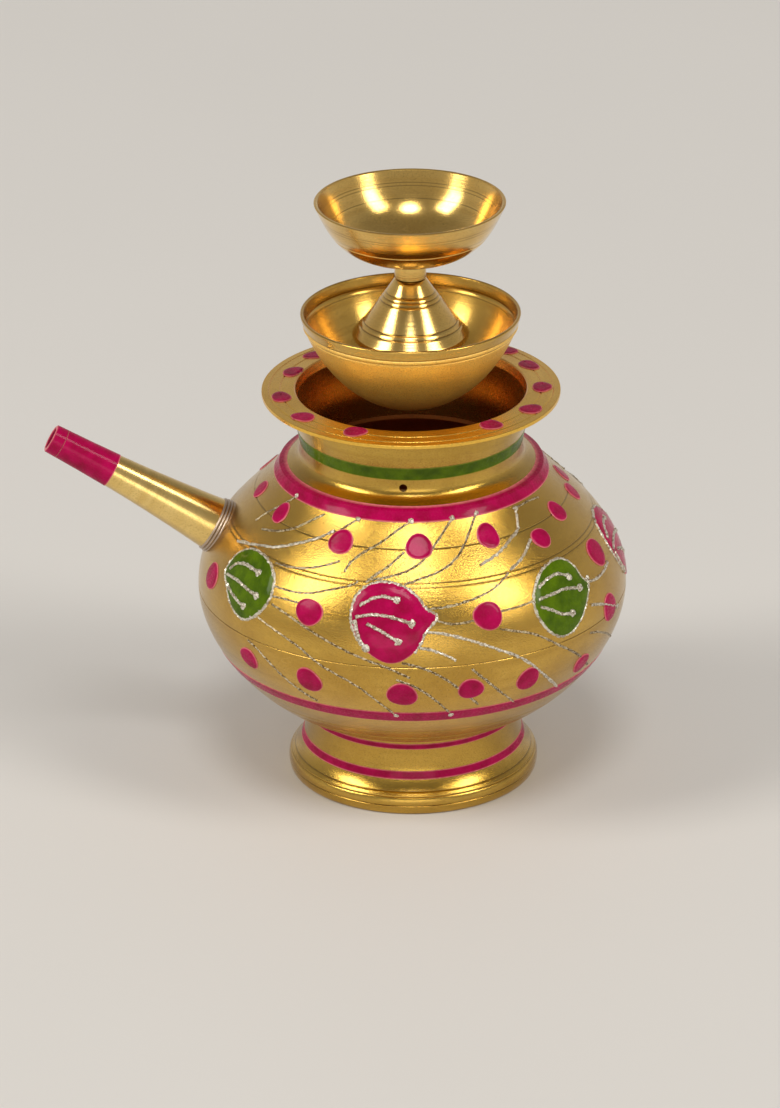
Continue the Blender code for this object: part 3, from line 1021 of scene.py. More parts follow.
@dataclass
class Pot:
    """The spouted pot: foot, belly, neck, rim and spout, with its painted bands."""

    view: PhotoView
    shop: Workshop
    effects: Effects
    segments: int = 192
    belly_segments: int = 256
    inner_stride: int = 3
    sight_step: float = 0.5
    foot_height: float = 21.0 * MM
    foot_waist: float = 30.2 * MM
    foot_lip: float = 0.5 * MM
    foot_top_band: float = 2.6 * MM
    foot_flare: float = 4.2 * MM
    foot_bead: float = 0.8 * MM
    foot_bead_top: float = 5.4 * MM
    foot_wall: float = 1.6 * MM
    foot_sole: float = 2.4 * MM
    foot_groove: float = 2.7 * MM
    foot_line: float = 6.3 * MM
    bead_ledge: float = 0.05 * MM
    bead_step: float = 0.25 * MM
    bead_fall: float = 0.3 * MM
    bead_bulge: float = 1.3
    sole_bulge: float = 1.1
    sole_tuck: float = 0.7
    sole_round: float = 0.2 * MM
    seam: float = 0.3 * MM
    belly_wall: float = 1.2 * MM
    basin_side: float = 17.3 * MM
    basin_floor: float = 9.2 * MM
    basin_slope: float = math.radians(10.0)
    basin_drop: float = 2.6 * MM
    shoulder_reach: float = 19.0 * MM
    shoulder_top: float = 7.8 * MM
    shoulder_slope: float = math.radians(69.0)
    shelf_width: float = 3.9 * MM
    shelf_rise: float = 1.2 * MM
    belly_rings: tuple[float, ...] = (84.9 * MM, 77.9 * MM, 76.9 * MM, 57.0 * MM, 31.5 * MM, 27.5 * MM)
    ring_width: float = 0.4 * MM
    ring_depth: float = 0.13 * MM
    neck_waist: float = 30.9 * MM
    neck_waist_rise: float = 3.6 * MM
    neck_flare: float = 1.9 * MM
    neck_wall: float = 1.4 * MM
    neck_hem: float = 1.75 * MM
    hem_drop: float = 0.6
    hem_sweep: float = 0.3
    shelf_shares: tuple[float, ...] = (0.0, 0.4, 0.8)
    lap: float = 0.03 * MM
    neck_hole_radius: float = 1.1 * MM
    neck_hole_height: float = 97.6 * MM
    neck_hole_turn: float = math.radians(-4.5)
    neck_hole_depth: float = 8.0 * MM
    rim_width: float = 9.2 * MM
    rim_drop: float = 0.5 * MM
    rim_edge: float = 1.1 * MM
    rim_round: float = 0.37 * MM
    rim_hub: float = 2.2 * MM
    rim_flare: float = 0.8 * MM
    mouth_lip: float = 0.15 * MM
    mouth_bevel: float = 0.25 * MM
    rim_grooves: tuple[float, ...] = (36.1 * MM, 39.3 * MM)
    rim_groove_width: float = 0.55 * MM
    rim_groove_depth: float = 0.14 * MM
    spout_segments: int = 72
    spout_length: float = 53.2 * MM
    spout_tilt: float = math.radians(30.5)
    spout_root: float = 7.7 * MM
    spout_waist: float = 0.65 * MM
    spout_hole_depth: float = 14.0 * MM
    spout_hole_gap: float = 0.15 * MM
    spout_joint: float = 0.09 * MM
    spout_tip: float = 4.0 * MM
    spout_steps: int = 12
    spout_wall: float = 0.9 * MM
    spout_spigot: float = 2.6 * MM
    spout_lip: float = 3.4 * MM
    lip_round: float = 0.3 * MM
    lip_bevel: float = 0.2 * MM
    spout_paint: float = 19.5 * MM
    collar_ridges: int = 3
    collar_pitch: float = 0.9 * MM
    collar_ridge: float = 0.3 * MM
    collar_width: float = 0.12 * MM
    collar_base: float = 0.08 * MM
    collar_skirt: float = 3.2 * MM
    collar_sink: float = 1.1 * MM
    collar_steps: int = 8
    collar_foot: float = 0.2 * MM
    collar_bore: float = 0.02 * MM
    paint: float = 0.13 * MM
    paint_root: float = 0.12 * MM
    paint_thin: float = 0.4
    hem: float = 0.35 * MM

    def __post_init__(self) -> None:
        """Read the pot's main sizes and places from the frame."""
        foot_low, foot_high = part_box("foot_ring")
        basin_low, basin_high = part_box("basin_shell")
        shoulder_low, shoulder_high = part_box("shoulder_shell")
        neck_low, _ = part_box("neck_collar")
        rim_low, rim_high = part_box("mouth_rim")
        middle = (foot_low + foot_high) / 2
        self.axis = Axis(Vector((middle.x, middle.y, 0.0)))
        self.belly_radius = (basin_high.y - basin_low.y) / 2
        self.equator = (basin_high.z + shoulder_low.z) / 2
        self.neck_seat = shoulder_high.z
        self.neck_bottom = neck_low.z
        self.mouth_height = rim_high.z
        self.rim_bottom = rim_low.z
        lip_low, lip_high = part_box("spout_lip_ring")
        direction = Vector((-math.cos(self.spout_tilt), 0.0, math.sin(self.spout_tilt)))
        root = (lip_low + lip_high) / 2 - direction * (self.spout_length - self.spout_lip / 2)
        self.spout_axis = Axis(root, self.spout_tilt - math.pi / 2)
        self.skin = self._belly_side()

    def _belly_side(self) -> Outline:
        """Draw the belly's outer side, from the shelf round the neck to the top of the foot.

        Returns:
            The side, from top to bottom.
        """
        neck_base = self.neck_waist + self.neck_flare
        shelf = neck_base + self.shelf_width
        shelf_top = self.neck_seat - self.shelf_rise
        fall = Vector((math.cos(self.shoulder_slope), -math.sin(self.shoulder_slope))) * self.shoulder_top
        waist = (self.belly_radius, self.equator)
        upper = curve(
            (shelf, shelf_top),
            (shelf + fall.x, shelf_top + fall.y),
            (self.belly_radius, self.equator + self.shoulder_reach),
            waist, Steps.BODY,
        )
        joint = (self.foot_waist + self.foot_lip, self.foot_height)
        out = Vector((math.cos(self.basin_slope), math.sin(self.basin_slope))) * self.basin_floor
        lower = curve(
            waist,
            (self.belly_radius, self.equator - self.basin_side),
            (joint[0] + out.x, joint[1] + out.y),
            joint, Steps.BODY,
        )
        return upper + lower[1:]

    def on_belly(self, turn: float, height: float, lift: float = 0.0) -> Vector:
        """Point on the belly's outside.

        Args:
            turn: Angle round the axis, 0 at the front and growing to the right.
            height: Height above the floor.
            lift: Distance out from the surface.

        Returns:
            The point.
        """
        step = 0.3 * MM
        rise = radius_at(self.skin, height + step) - radius_at(self.skin, height - step)
        length = math.hypot(rise, 2 * step)
        radius = radius_at(self.skin, height) + lift * 2 * step / length
        up = -lift * rise / length
        return self.axis.origin + facing(turn) * radius + Vector((0.0, 0.0, height + up))

    def find_on_belly(self, spot: Spot) -> Place:
        """Turn and height of the belly point seen at a picture point.

        Args:
            spot: Column and row in the picture.

        Returns:
            The turn round the axis and the height.
        """
        column, row = spot
        hit = False
        while not hit:
            eye, sight = self.view.ray(self.axis, (column, row))
            hit, place, _, _ = self.belly.ray_cast(eye, sight)
            column += math.copysign(self.sight_step, self.view.axis_column - column)
        out = place - self.axis.origin
        return math.atan2(out.x, -out.y), out.z

    def build(self, brass: dict[str, Brass], enamel: Materials) -> None:
        """Build and dress the whole pot.

        Args:
            brass: Brass finishes by place.
            enamel: Paint materials by colour.
        """
        upright = ("pot", "inside", "cavity_shade", "bright", "rim")
        self.metal = {name: brass[name].material(self.effects, self.axis) for name in upright}
        for name in ("spout", "braze"):
            self.metal[name] = brass[name].material(self.effects, self.spout_axis)
        self.enamel = enamel
        self._build_foot()
        self._build_belly()
        self._build_neck()
        self._build_rim()
        self._build_spout()
        self._build_bands()

    def _fit_ring(self, piece: Piece, finish: str, node: str) -> None:
        """Dress a turned ring, with the mouth's lining finish, painted lighter as painted light, on its inner
        side.

        Args:
            piece: The ring.
            finish: Finish of its outer side.
            node: Solid of the frame that it stands for.
        """
        materials = [self.metal[finish], self.metal["inside"]]
        self.shop.fit(piece, Body.LOTA, Slot.POT_BRASS, materials, (node,))
        Bench.paint_sides(piece, self.axis.origin, True)

    def foot_side(self) -> Outline:
        """Draw the foot's outer side, from the belly down to the floor.

        Returns:
            The side, from top to bottom.
        """
        flare = self.foot_waist + self.foot_flare
        waist_z = self.foot_height - self.foot_top_band
        top = self.foot_height - self.seam / 2
        lip = [(self.foot_waist + self.foot_lip, top)]
        neck = curve(
            (self.foot_waist, waist_z),
            (self.foot_waist, (waist_z + 2 * self.foot_bead_top) / 3),
            (self.foot_waist + self.foot_flare / 2, self.foot_bead_top + self.foot_flare / 2),
            (flare, self.foot_bead_top), Steps.FOOT,
        )
        bead = curve(
            (flare + self.bead_ledge, self.foot_bead_top - self.bead_step),
            (flare + self.foot_bead, self.foot_bead_top - self.bead_fall),
            (flare + self.foot_bead * self.bead_bulge, self.foot_groove),
            (flare + self.foot_bead, self.foot_groove), Steps.ROUND,
        )
        sole = curve(
            (flare + self.foot_bead, self.foot_groove),
            (flare + self.foot_bead * self.sole_bulge, self.foot_groove * self.sole_tuck),
            (flare + self.foot_bead, self.sole_round),
            (flare, 0.0), Steps.ROUND,
        )
        side = lip + neck + bead + sole[1:]
        return engrave(side, (self.foot_line, self.foot_groove), self.ring_width, self.ring_depth)

    def _build_foot(self) -> None:
        """Turn the hollow foot with its flared hem."""
        side = self.foot_side()
        flare = self.foot_waist + self.foot_flare
        wall = [(radius - self.foot_wall, height) for radius, height in side if height > self.foot_bead_top]
        sole = [(flare - self.foot_sole, 0.0)]
        outline = side + sole + wall[::-1] + side[:1]
        piece = Bench.turn("turned_foot", outline, self.axis, self.segments)
        self._fit_ring(piece, "bright", "foot_ring")

    def _build_belly(self) -> None:
        """Raise the belly in one sheet, with turned lines and the spout's hole."""
        bore = self.neck_waist - self.neck_wall
        side = engrave(self.skin, self.belly_rings, self.ring_width, self.ring_depth)
        shelf = [(bore, self.neck_seat), (self.neck_waist + self.neck_flare, self.neck_seat)]
        joint = self.skin[-1]
        pole = self.foot_height - self.basin_drop
        hub = (joint[0] - self.basin_drop / math.tan(self.basin_slope), pole)
        floor = curve(joint, hub, hub, (0.0, pole), Steps.ROUND)[1:]
        inner = offset(self.skin + floor, self.belly_wall)[::self.inner_stride]
        inner = [(0.0, pole + self.belly_wall)] + inner[::-1][1:]
        inner_top = (bore, self.neck_seat - self.belly_wall)
        outline = inner + [inner_top] + shelf + side + floor
        piece = Bench.turn("raised_belly", outline, self.axis, self.belly_segments)
        self.belly = piece
        spout = self.spout_axis
        hole = self.spout_root + self.spout_hole_gap
        Bench.drill(piece, spout.origin, spout.direction, hole, self.spout_hole_depth)
        bpy.context.view_layer.update()
        # The belly's inner faces take the darker brass, painted shade for the hollow.
        materials = [self.metal["pot"], self.metal["cavity_shade"]]
        self.shop.fit(piece, Body.LOTA, Slot.POT_BRASS, materials, ("basin_shell", "shoulder_shell"))
        Bench.paint_sides(piece, self.axis.origin + Vector((0.0, 0.0, self.equator)), False)

    def _build_neck(self) -> None:
        """Turn the waisted neck and bore its pin-hole."""
        side = self.neck_side()
        bore = [(radius - self.neck_wall, height) for radius, height in self.neck_sweep()]
        sole = [(self.neck_waist + self.neck_flare, self.neck_seat + self.lap)]
        sole.append((self.neck_waist - self.neck_wall, self.neck_seat + self.lap))
        outline = side + sole + bore[::-1] + side[:1]
        piece = Bench.turn("waisted_neck", outline, self.axis, self.segments)
        along = facing(self.neck_hole_turn)
        place = self.axis.origin + along * self.neck_waist + Vector((0.0, 0.0, self.neck_hole_height))
        Bench.drill(piece, place, along, self.neck_hole_radius, self.neck_hole_depth)
        self._fit_ring(piece, "bright", "neck_collar")

    def neck_sweep(self) -> Outline:
        """Draw the side of the neck from the rim down to its waist.

        Returns:
            The side, from top to bottom.
        """
        waist_z = self.neck_bottom + self.neck_waist_rise
        wide = self.neck_waist + self.neck_flare
        top = self.rim_bottom - self.lap
        return curve(
            (wide, top),
            (wide, (top + waist_z) / 2),
            (self.neck_waist, (top + 2 * waist_z) / 3),
            (self.neck_waist, waist_z), Steps.NECK,
        )

    def shelf_height(self, radius: float) -> float:
        """Height of the belly's shelf round the neck."""
        out = radius - self.neck_waist - self.neck_flare
        return self.neck_seat - self.shelf_rise * out / self.shelf_width

    def neck_side(self) -> Outline:
        """Draw the neck's outer side, from the rim down to where it flares onto the belly.

        Returns:
            The side, from top to bottom.
        """
        sweep = self.neck_sweep()
        waist_z = sweep[-1][1]
        hem = self.neck_waist + self.neck_flare + self.neck_hem
        hem_z = self.shelf_height(hem) + self.lap
        rise = waist_z - hem_z
        reach = self.hem_sweep * (hem - self.neck_waist)
        fillet = curve(
            sweep[-1], (self.neck_waist, waist_z - self.hem_drop * rise),
            (self.neck_waist + reach, hem_z + self.hem_sweep * rise), (hem, hem_z), Steps.FILLET,
        )
        return sweep + fillet[1:]

    def shoulder_side(self) -> Outline:
        """Draw the side that the paint round the neck follows, over the shelf's edge.

        Returns:
            The side, from top to bottom.
        """
        hem = self.neck_waist + self.neck_flare + self.neck_hem
        edge = self.skin[0]
        radii = [hem + (edge[0] - hem) * share for share in self.shelf_shares]
        return [(radius, self.shelf_height(radius)) for radius in radii] + self.skin

    def rim_top(self, radius: float) -> float:
        """Height of the rim's top at a radius."""
        mouth = self.neck_waist + self.neck_flare - self.neck_wall + self.rim_flare
        return self.mouth_height - (radius - mouth) * self.rim_drop / self.rim_width

    def _build_rim(self) -> None:
        """Turn the flat rim with its two grooves."""
        neck = self.neck_waist + self.neck_flare
        bore = neck - self.neck_wall
        mouth = bore + self.rim_flare
        edge = mouth + self.rim_width
        top = [
            (mouth - self.mouth_lip, self.mouth_height - self.mouth_bevel),
            (mouth + self.mouth_bevel, self.rim_top(mouth)),
        ]
        for groove in self.rim_grooves:
            half = self.rim_groove_width / 2
            for shift, cut in ((-half, 0.0), (-half / 3, 1.0), (half / 3, 1.0), (half, 0.0)):
                radius = groove + shift
                top.append((radius, self.rim_top(radius) - cut * self.rim_groove_depth))
        lip_top = self.rim_top(edge)
        lip_low = lip_top - self.rim_edge
        half_edge = (lip_top + lip_low) / 2
        inset = edge - self.rim_round
        lip = curve((inset, lip_top), (edge, lip_top), (edge, lip_top), (edge, half_edge), Steps.LIP)
        turned = (edge, lip_low)
        lip += curve((edge, half_edge), turned, turned, (inset, lip_low), Steps.LIP)[1:]
        under = [(neck + self.rim_hub, lip_low), (neck, self.rim_bottom), (bore, self.rim_bottom)]
        outline = top + lip + under + top[:1]
        self.rim = Bench.turn("flat_rim", outline, self.axis, self.segments)
        self._fit_ring(self.rim, "rim", "mouth_rim")

    def spout_radius(self, along: float) -> float:
        """Outer radius of the spout, slimmer at mid-length than a straight cone.

        Args:
            along: Distance from the belly along the spout.

        Returns:
            The radius.
        """
        share = max(along, 0.0) / self.spout_length
        cone = self.spout_root + (self.spout_tip - self.spout_root) * share
        return cone - 4.0 * self.spout_waist * share * (1.0 - share)

    def _spout_ring(self, name: str, outer: Outline, bore: Outline) -> Piece:
        """Turn a hollow piece on the spout's axis."""
        return Bench.turn(name, outer + bore + outer[:1], self.spout_axis, self.spout_segments)

    def _build_spout(self) -> None:
        """Turn the tapered spout, its painted end, its lip and its ridged root."""
        magenta = self.enamel["magenta"]
        end = self.spout_length - self.spout_lip
        paint_start = self.spout_length - self.spout_paint
        joint = end - self.spout_joint
        stations = [joint * (1.0 - step / self.spout_steps) for step in range(self.spout_steps + 1)]
        stations.append(-self.spout_spigot)
        outer = [(self.spout_radius(s), s) for s in stations]
        bore = [(self.spout_radius(s) - self.spout_wall, s) for s in stations[::-1]]
        tube = self._spout_ring("pouring_spout", outer, bore)
        self.shop.fit(tube, Body.LOTA, Slot.POT_BRASS, [self.metal["spout"]], ("spout_tube",))

        fine_hem = self.hem / 3
        sleeve = [joint, joint - fine_hem, (end + paint_start) / 2, paint_start + self.hem, paint_start]
        coat = [(self.spout_radius(s) + self.paint, s) for s in sleeve]
        root = [(self.spout_radius(s) - self.paint_root, s) for s in sleeve[::-1]]
        painted = self._spout_ring("spout_paint", coat, root)
        self._mark_highlight_by_height(painted, self.spout_axis, (paint_start, joint))
        self.shop.fit(painted, Body.LOTA, Slot.MAGENTA, [magenta])

        tip = self.spout_length
        shoulder = tip - self.lip_round
        lip_outer = [
            (self.spout_radius(tip) - self.lip_round, tip),
            (self.spout_radius(tip) + self.paint, shoulder),
            (self.spout_radius(tip) + self.paint, shoulder - self.hem),
            (self.spout_radius(end) + self.paint, end + fine_hem),
            (self.spout_radius(end), end),
        ]
        lip_bore = [(self.spout_radius(s) - self.spout_wall, s) for s in (end, shoulder)]
        lip_bore.append((self.spout_radius(tip) - self.spout_wall + self.lip_bevel, tip))
        lip = self._spout_ring("spout_lip", lip_outer, lip_bore)
        self._mark_highlight_by_height(lip, self.spout_axis, (end, tip))
        self.shop.fit(lip, Body.LOTA, Slot.MAGENTA, [magenta], ("spout_lip_ring",))

        collar = self._collar()
        self.shop.fit(collar, Body.LOTA, Slot.BRAZE, [self.metal["braze"]], ("spout_root_collar",))

    def _collar(self) -> Piece:
        """Turn the ridged collar that hides the spout's seam on the belly.

        Returns:
            The collar.
        """
        top = self.collar_pitch * self.collar_ridges + self.seam - self.collar_sink
        outer: Outline = []
        steps = self.collar_steps
        for ridge in range(self.collar_ridges):
            for step in range(steps):
                share = (ridge * steps + step) / (self.collar_ridges * steps)
                height = top - share * self.collar_pitch * self.collar_ridges
                swell = math.sin(math.pi * step / steps) * self.collar_ridge
                widen = self.collar_base + self.collar_width * share
                outer.append((self.spout_radius(height) + widen + swell, height))
        outer.append((outer[-1][0] + self.collar_foot, -self.collar_skirt))
        bore = [(self.spout_radius(s) + self.collar_bore, s) for s in (-self.collar_skirt, top)]
        return self._spout_ring("spout_root_ridges", outer, bore)

    @staticmethod
    def _mark_highlight_by_height(piece: Piece, axis: Axis, edges: tuple[float, ...]) -> None:
        """Mark the corners of a painted ring that lie at its edges, where the pale highlight is painted.

        Args:
            piece: The painted ring.
            axis: Its turning axis.
            edges: Heights of its edges along the axis.
        """
        found = set()
        for corner in piece.data.vertices:
            height = (corner.co - axis.origin).dot(axis.direction)
            if any(abs(height - edge) < EDGE_REACH for edge in edges):
                found.add(corner.index)
        mark_highlight_edges(piece, found)

    def band(self, name: str, side: Outline, top: float, bottom: float) -> Piece:
        """Painted ring that follows a side between two heights.

        Args:
            name: Name of the ring.
            side: Outline of the wall under it.
            top: Upper edge.
            bottom: Lower edge.

        Returns:
            The ring.
        """
        part = stretch(side, top, bottom)
        part = [part[0]] + stretch(side, top - self.hem, bottom + self.hem) + [part[-1]]
        coat = offset(part, -self.paint)
        root = offset(part, self.paint_root)
        thin = offset(part, -self.paint * self.paint_thin)
        coat[0], coat[-1] = thin[0], thin[-1]
        ring = Bench.turn(name, coat + root[::-1] + coat[:1], self.axis, self.segments)
        self._mark_highlight_by_height(ring, self.axis, (coat[0][1], coat[-1][1], root[0][1], root[-1][1]))
        return ring

    def _build_bands(self) -> None:
        """Paint the rings on foot, belly, shoulder and neck."""
        foot = self.foot_side()
        neck = self.neck_side()
        rings = (
            ("foot_upper_band", foot, 19.7, 17.9, "magenta", Slot.MAGENTA),
            ("foot_lower_band", foot, 11.5, 9.2, "magenta", Slot.MAGENTA),
            ("belly_lower_band", self.skin, 41.3, 37.5, "magenta", Slot.MAGENTA),
            ("neck_base_band", self.shoulder_side(), 93.76, 90.5, "magenta", Slot.MAGENTA),
            ("neck_green_band", neck, 103.7, 99.9, "green", Slot.GREEN),
        )
        for name, side, top, bottom, colour, slot in rings:
            ring = self.band(name, side, top * MM, bottom * MM)
            self.shop.fit(ring, Body.LOTA, slot, [self.enamel[colour]])


@dataclass(frozen=True)
class Motif:
    """A leaf or bud read from the picture: its outline, stamens and their heads.

    The first points of the outline, as many as ``drawn`` says, carry the
    glitter line; zero draws it all the way round.
    """

    outline: tuple[Spot, ...]
    stamens: tuple[tuple[Spot, ...], ...]
    colour: str
    drawn: int = 0


LEFT_LEAF = Motif(
    outline=(
        (226, 572), (231, 562), (239, 553), (250, 549), (260, 552), (268, 560), (273, 571), (274, 583),
        (271, 596), (265, 606), (257, 614), (248, 619), (240, 617), (233, 608), (229, 597), (227, 584),
    ),
    stamens=(
        ((231, 569), (238, 564), (247, 565), (259, 573)),
        ((228, 574), (239, 581), (249, 590), (257, 596)),
        ((228, 583), (232, 592), (237, 599), (244, 606)),
    ),
    colour="green",
)
FRONT_BUD = Motif(
    outline=(
        (414, 653), (420, 645), (426, 632), (437, 617), (426, 609), (419, 599), (409, 590), (397, 584),
        (383, 582), (369, 585), (359, 593), (353, 604), (351, 618), (354, 632), (361, 645), (372, 656),
        (386, 663), (400, 662),
    ),
    stamens=(
        ((360, 606), (372, 599), (384, 597), (397, 600)),
        ((356, 617), (372, 615), (390, 617), (412, 624)),
        ((367, 624), (379, 630), (389, 636), (398, 642)),
        ((355, 620), (357, 632), (361, 642), (366, 648)),
    ),
    colour="magenta",
    drawn=15,
)
RIGHT_LEAF = Motif(
    outline=(
        (534, 598), (536, 585), (541, 572), (549, 563), (558, 559), (567, 561), (575, 568), (581, 577),
        (588, 584), (587, 597), (584, 610), (579, 622), (571, 632), (561, 636), (551, 632), (542, 622),
        (536, 611),
    ),
    stamens=(
        ((538, 588), (547, 579), (557, 574), (568, 577)),
        ((538, 600), (550, 595), (564, 589), (579, 588)),
        ((540, 607), (551, 610), (561, 614), (572, 613)),
    ),
    colour="green",
)


@dataclass
class Ornament:
    """Hand-painted dots, leaves, buds and glitter lines on the belly and the rim."""

    pot: Pot
    dot_corners: int = 28
    dot_oval: float = 0.07
    dot_lobes: float = 0.035
    rim_dot_radius: float = 3.2 * MM
    rim_dot_wide: float = 1.08
    rim_dot_deep: float = 0.92
    rim_dot_oval: float = 0.08
    rim_dot_lobes: float = 0.05
    rim_dot_lift: float = 0.3 * MM
    rim_sight_ring: float = 36.0 * MM
    rim_hidden_ring: float = 35.8 * MM
    paint: float = 0.32 * MM
    patch_lift: float = 2.5 * MM
    patch_hem: float = 0.42 * MM
    patch_gap: float = 0.01 * MM
    patch_cuts: int = 3
    patch_steps: int = 4
    patch_smooth: float = math.radians(50.0)
    edge_thickness: float = 0.3
    line_radius: float = 0.56 * MM
    fine_radius: float = 0.38 * MM
    line_sink: float = 0.2 * MM
    line_steps: int = 12
    line_smooth: float = math.radians(40.0)
    fine_lift: float = 0.05 * MM
    bold_lift: float = 0.2 * MM
    fine_flakes: float = 0.5 * MM
    bold_flakes: float = 0.75 * MM
    flake_size: float = 0.6 * MM
    head_radius: float = 1.2 * MM
    head_height: float = 0.5
    head_facets: tuple[int, int] = (14, 8)
    bead_radius: float = 0.75 * MM
    bold_radius: float = 0.42 * MM
    spout_clear: float = math.radians(24.0)
    spout_turn: float = math.radians(-90.0)
    repeat_turn: float = math.pi
    side_turn: float = math.radians(95.5)
    belly_dots: tuple[tuple[float, float, float], ...] = (
        (261, 489, 3.0), (281, 513, 3.1), (341, 542, 3.75), (419, 547, 3.85), (488, 536, 3.6),
        (541, 538, 3.3), (557, 511, 3.4), (572, 491, 3.1), (596, 552, 4.4), (610, 607, 4.4),
        (212, 576, 4.2), (309, 612, 4.2), (488, 616, 4.35), (249, 658, 3.7), (309, 680, 4.3),
        (402, 695, 4.5), (471, 689, 3.9), (528, 679, 4.1), (581, 663, 3.6),
    )
    rim_dots: tuple[Spot, ...] = (
        (315, 355), (293, 372), (281, 397), (303, 417), (355, 432), (491, 425), (531, 409), (542, 387),
        (529, 365), (506, 350),
    )
    hidden_rim_dots: tuple[float, ...] = (math.radians(158.0), math.radians(180.0), math.radians(202.0))
    vines: tuple[tuple[Spot, ...], ...] = (
        ((297, 496), (284, 504), (268, 512), (256, 520)),
        ((325, 514), (310, 521), (295, 528), (278, 531), (262, 529)),
        ((276, 563), (290, 567), (305, 568), (322, 566), (340, 561)),
        ((275, 586), (290, 591), (308, 593), (328, 590), (348, 586), (358, 582)),
        ((272, 596), (285, 599), (300, 603)),
        ((272, 604), (288, 615), (305, 627), (322, 638), (342, 649), (364, 659), (388, 668), (410, 678)),
        ((258, 617), (282, 635), (300, 648), (315, 661), (332, 672), (350, 682), (368, 694), (396, 715)),
        ((248, 640), (258, 650), (270, 663), (284, 677), (300, 690), (318, 701)),
        ((358, 519), (350, 524), (340, 530)),
        ((411, 521), (398, 530), (383, 541), (366, 551), (352, 561), (344, 572)),
        ((452, 518), (445, 530), (438, 540), (430, 552), (420, 563), (405, 572), (388, 577), (372, 580)),
        ((404, 552), (390, 565), (377, 574), (366, 582)),
        ((476, 513), (470, 530), (464, 545), (458, 556), (448, 566), (436, 573), (420, 579), (404, 585)),
        ((538, 497), (528, 501), (517, 507)),
        ((508, 573), (500, 583), (490, 591), (478, 597), (462, 603), (447, 607), (428, 609)),
        ((434, 620), (450, 624), (464, 623), (478, 619)),
        ((500, 611), (510, 609), (521, 606), (533, 601)),
        ((402, 663), (418, 667), (434, 673), (448, 681), (462, 691), (478, 704)),
        ((396, 680), (413, 686), (427, 694), (440, 704), (451, 714)),
        ((472, 669), (482, 677), (492, 685), (502, 693), (514, 702)),
        ((500, 629), (515, 631), (530, 633), (545, 638), (557, 644), (570, 650), (580, 656), (587, 664)),
        ((590, 633), (600, 632), (611, 636)),
    )
    bold_vines: tuple[tuple[Spot, ...], ...] = (
        ((335, 531), (318, 538), (300, 543), (278, 547), (258, 545), (238, 541)),
        ((515, 508), (517, 519), (517, 530), (511, 538), (505, 546), (496, 555), (480, 565)),
        ((530, 539), (527, 548), (521, 559), (510, 570)),
        ((427, 632), (445, 634), (458, 637), (472, 641), (486, 645), (500, 650), (515, 655), (530, 663),
         (542, 673), (556, 686)),
        ((420, 648), (432, 650), (445, 655), (456, 660)),
        ((587, 582), (597, 578), (604, 570), (607, 562)),
        ((591, 605), (600, 604), (610, 605), (617, 606)),
    )
    vine_beads: tuple[Spot, ...] = (
        (297, 496), (358, 519), (411, 521), (452, 518), (476, 513), (515, 508),
        (396, 715), (451, 714), (587, 578), (588, 586), (617, 606),
    )

    def __post_init__(self) -> None:
        """Start the lists of what is painted and of the room it takes."""
        self.patches: dict[str, list[Piece]] = {"magenta": [], "green": []}
        self.fine_lines: list[Piece] = []
        self.bold_lines: list[Piece] = []
        self.taken: list[tuple[Vector, float]] = []
        self.side_bud: list[tuple[Vector, float]] = []

    def build(self, glitter: Materials) -> None:
        """Build and dress all the ornament.

        Args:
            glitter: Materials of the vines and of the leaf lines.
        """
        shop = self.pot.shop
        motifs = (
            (LEFT_LEAF, (0.0, self.repeat_turn)),
            (FRONT_BUD, (0.0, self.side_turn, self.repeat_turn)),
            (RIGHT_LEAF, (0.0, self.repeat_turn)),
        )
        for motif, turns in motifs:
            for turn in turns:
                self._paint_motif(motif, turn)
        for turn in (0.0, self.repeat_turn):
            self._paint_dots(turn)
            self._draw_vines(turn)
        for colour, slot in (("magenta", Slot.MAGENTA), ("green", Slot.GREEN)):
            piece = self._lay(f"belly_{colour}_paint", self.patches[colour], self.pot.belly)
            shop.fit(piece, Body.LOTA, slot, [self.pot.enamel[colour]])
        groups = (("vine", self.fine_lines, self.fine_flakes), ("leaf", self.bold_lines, self.bold_flakes))
        for name, pieces, flakes in groups:
            lines = Bench.join(f"{name}_glitter_lines", pieces)
            self._roughen(lines, flakes)
            shop.fit(lines, Body.LOTA, Slot.GLITTER, [glitter[name]])
        self._build_rim_dots()

    def _paint_motif(self, motif: Motif, turn: float) -> None:
        """Paint one leaf or bud with its glitter lines, unless the spout is in its way.

        Args:
            motif: The leaf or bud.
            turn: How far it is moved round the belly.
        """
        outline = [self._place(spot, turn) for spot in motif.outline]
        if None in outline:
            return
        corners = [self.pot.on_belly(*place) for place in outline]
        middle = sum(corners, Vector()) / len(corners)
        self.taken.append((middle, max((corner - middle).length for corner in corners)))
        if turn == self.side_turn:
            self.side_bud = self.taken[-1:]
        ring = outline + outline[:1]
        smooth = self._smooth(ring, self.patch_steps, True, self.patch_lift)
        self.patches[motif.colour].append(self._patch(smooth, self.pot.belly))
        drawn = outline[:motif.drawn] if motif.drawn else ring
        self.bold_lines += self._stroke(drawn, self.line_radius, not motif.drawn)
        for stamen in motif.stamens:
            path = [self._place(spot, turn) for spot in stamen]
            self.bold_lines += self._stroke(path, self.line_radius, False, self.paint)
            self.bold_lines.append(self._head(path[-1], self.head_radius))

    def _paint_dots(self, turn: float) -> None:
        """Paint the belly's dots, those at the back only where there is room.

        Args:
            turn: How far they are moved round the belly.
        """
        for column, row, size in self.belly_dots:
            place = self._place((column, row), turn)
            if place is None or (turn and self._crowded(place, size * MM, self.taken)):
                continue
            self.taken.append((self.pot.on_belly(*place), size * MM))
            dot = self._patch(self._round(place, size * MM), self.pot.belly)
            self.patches["magenta"].append(dot)

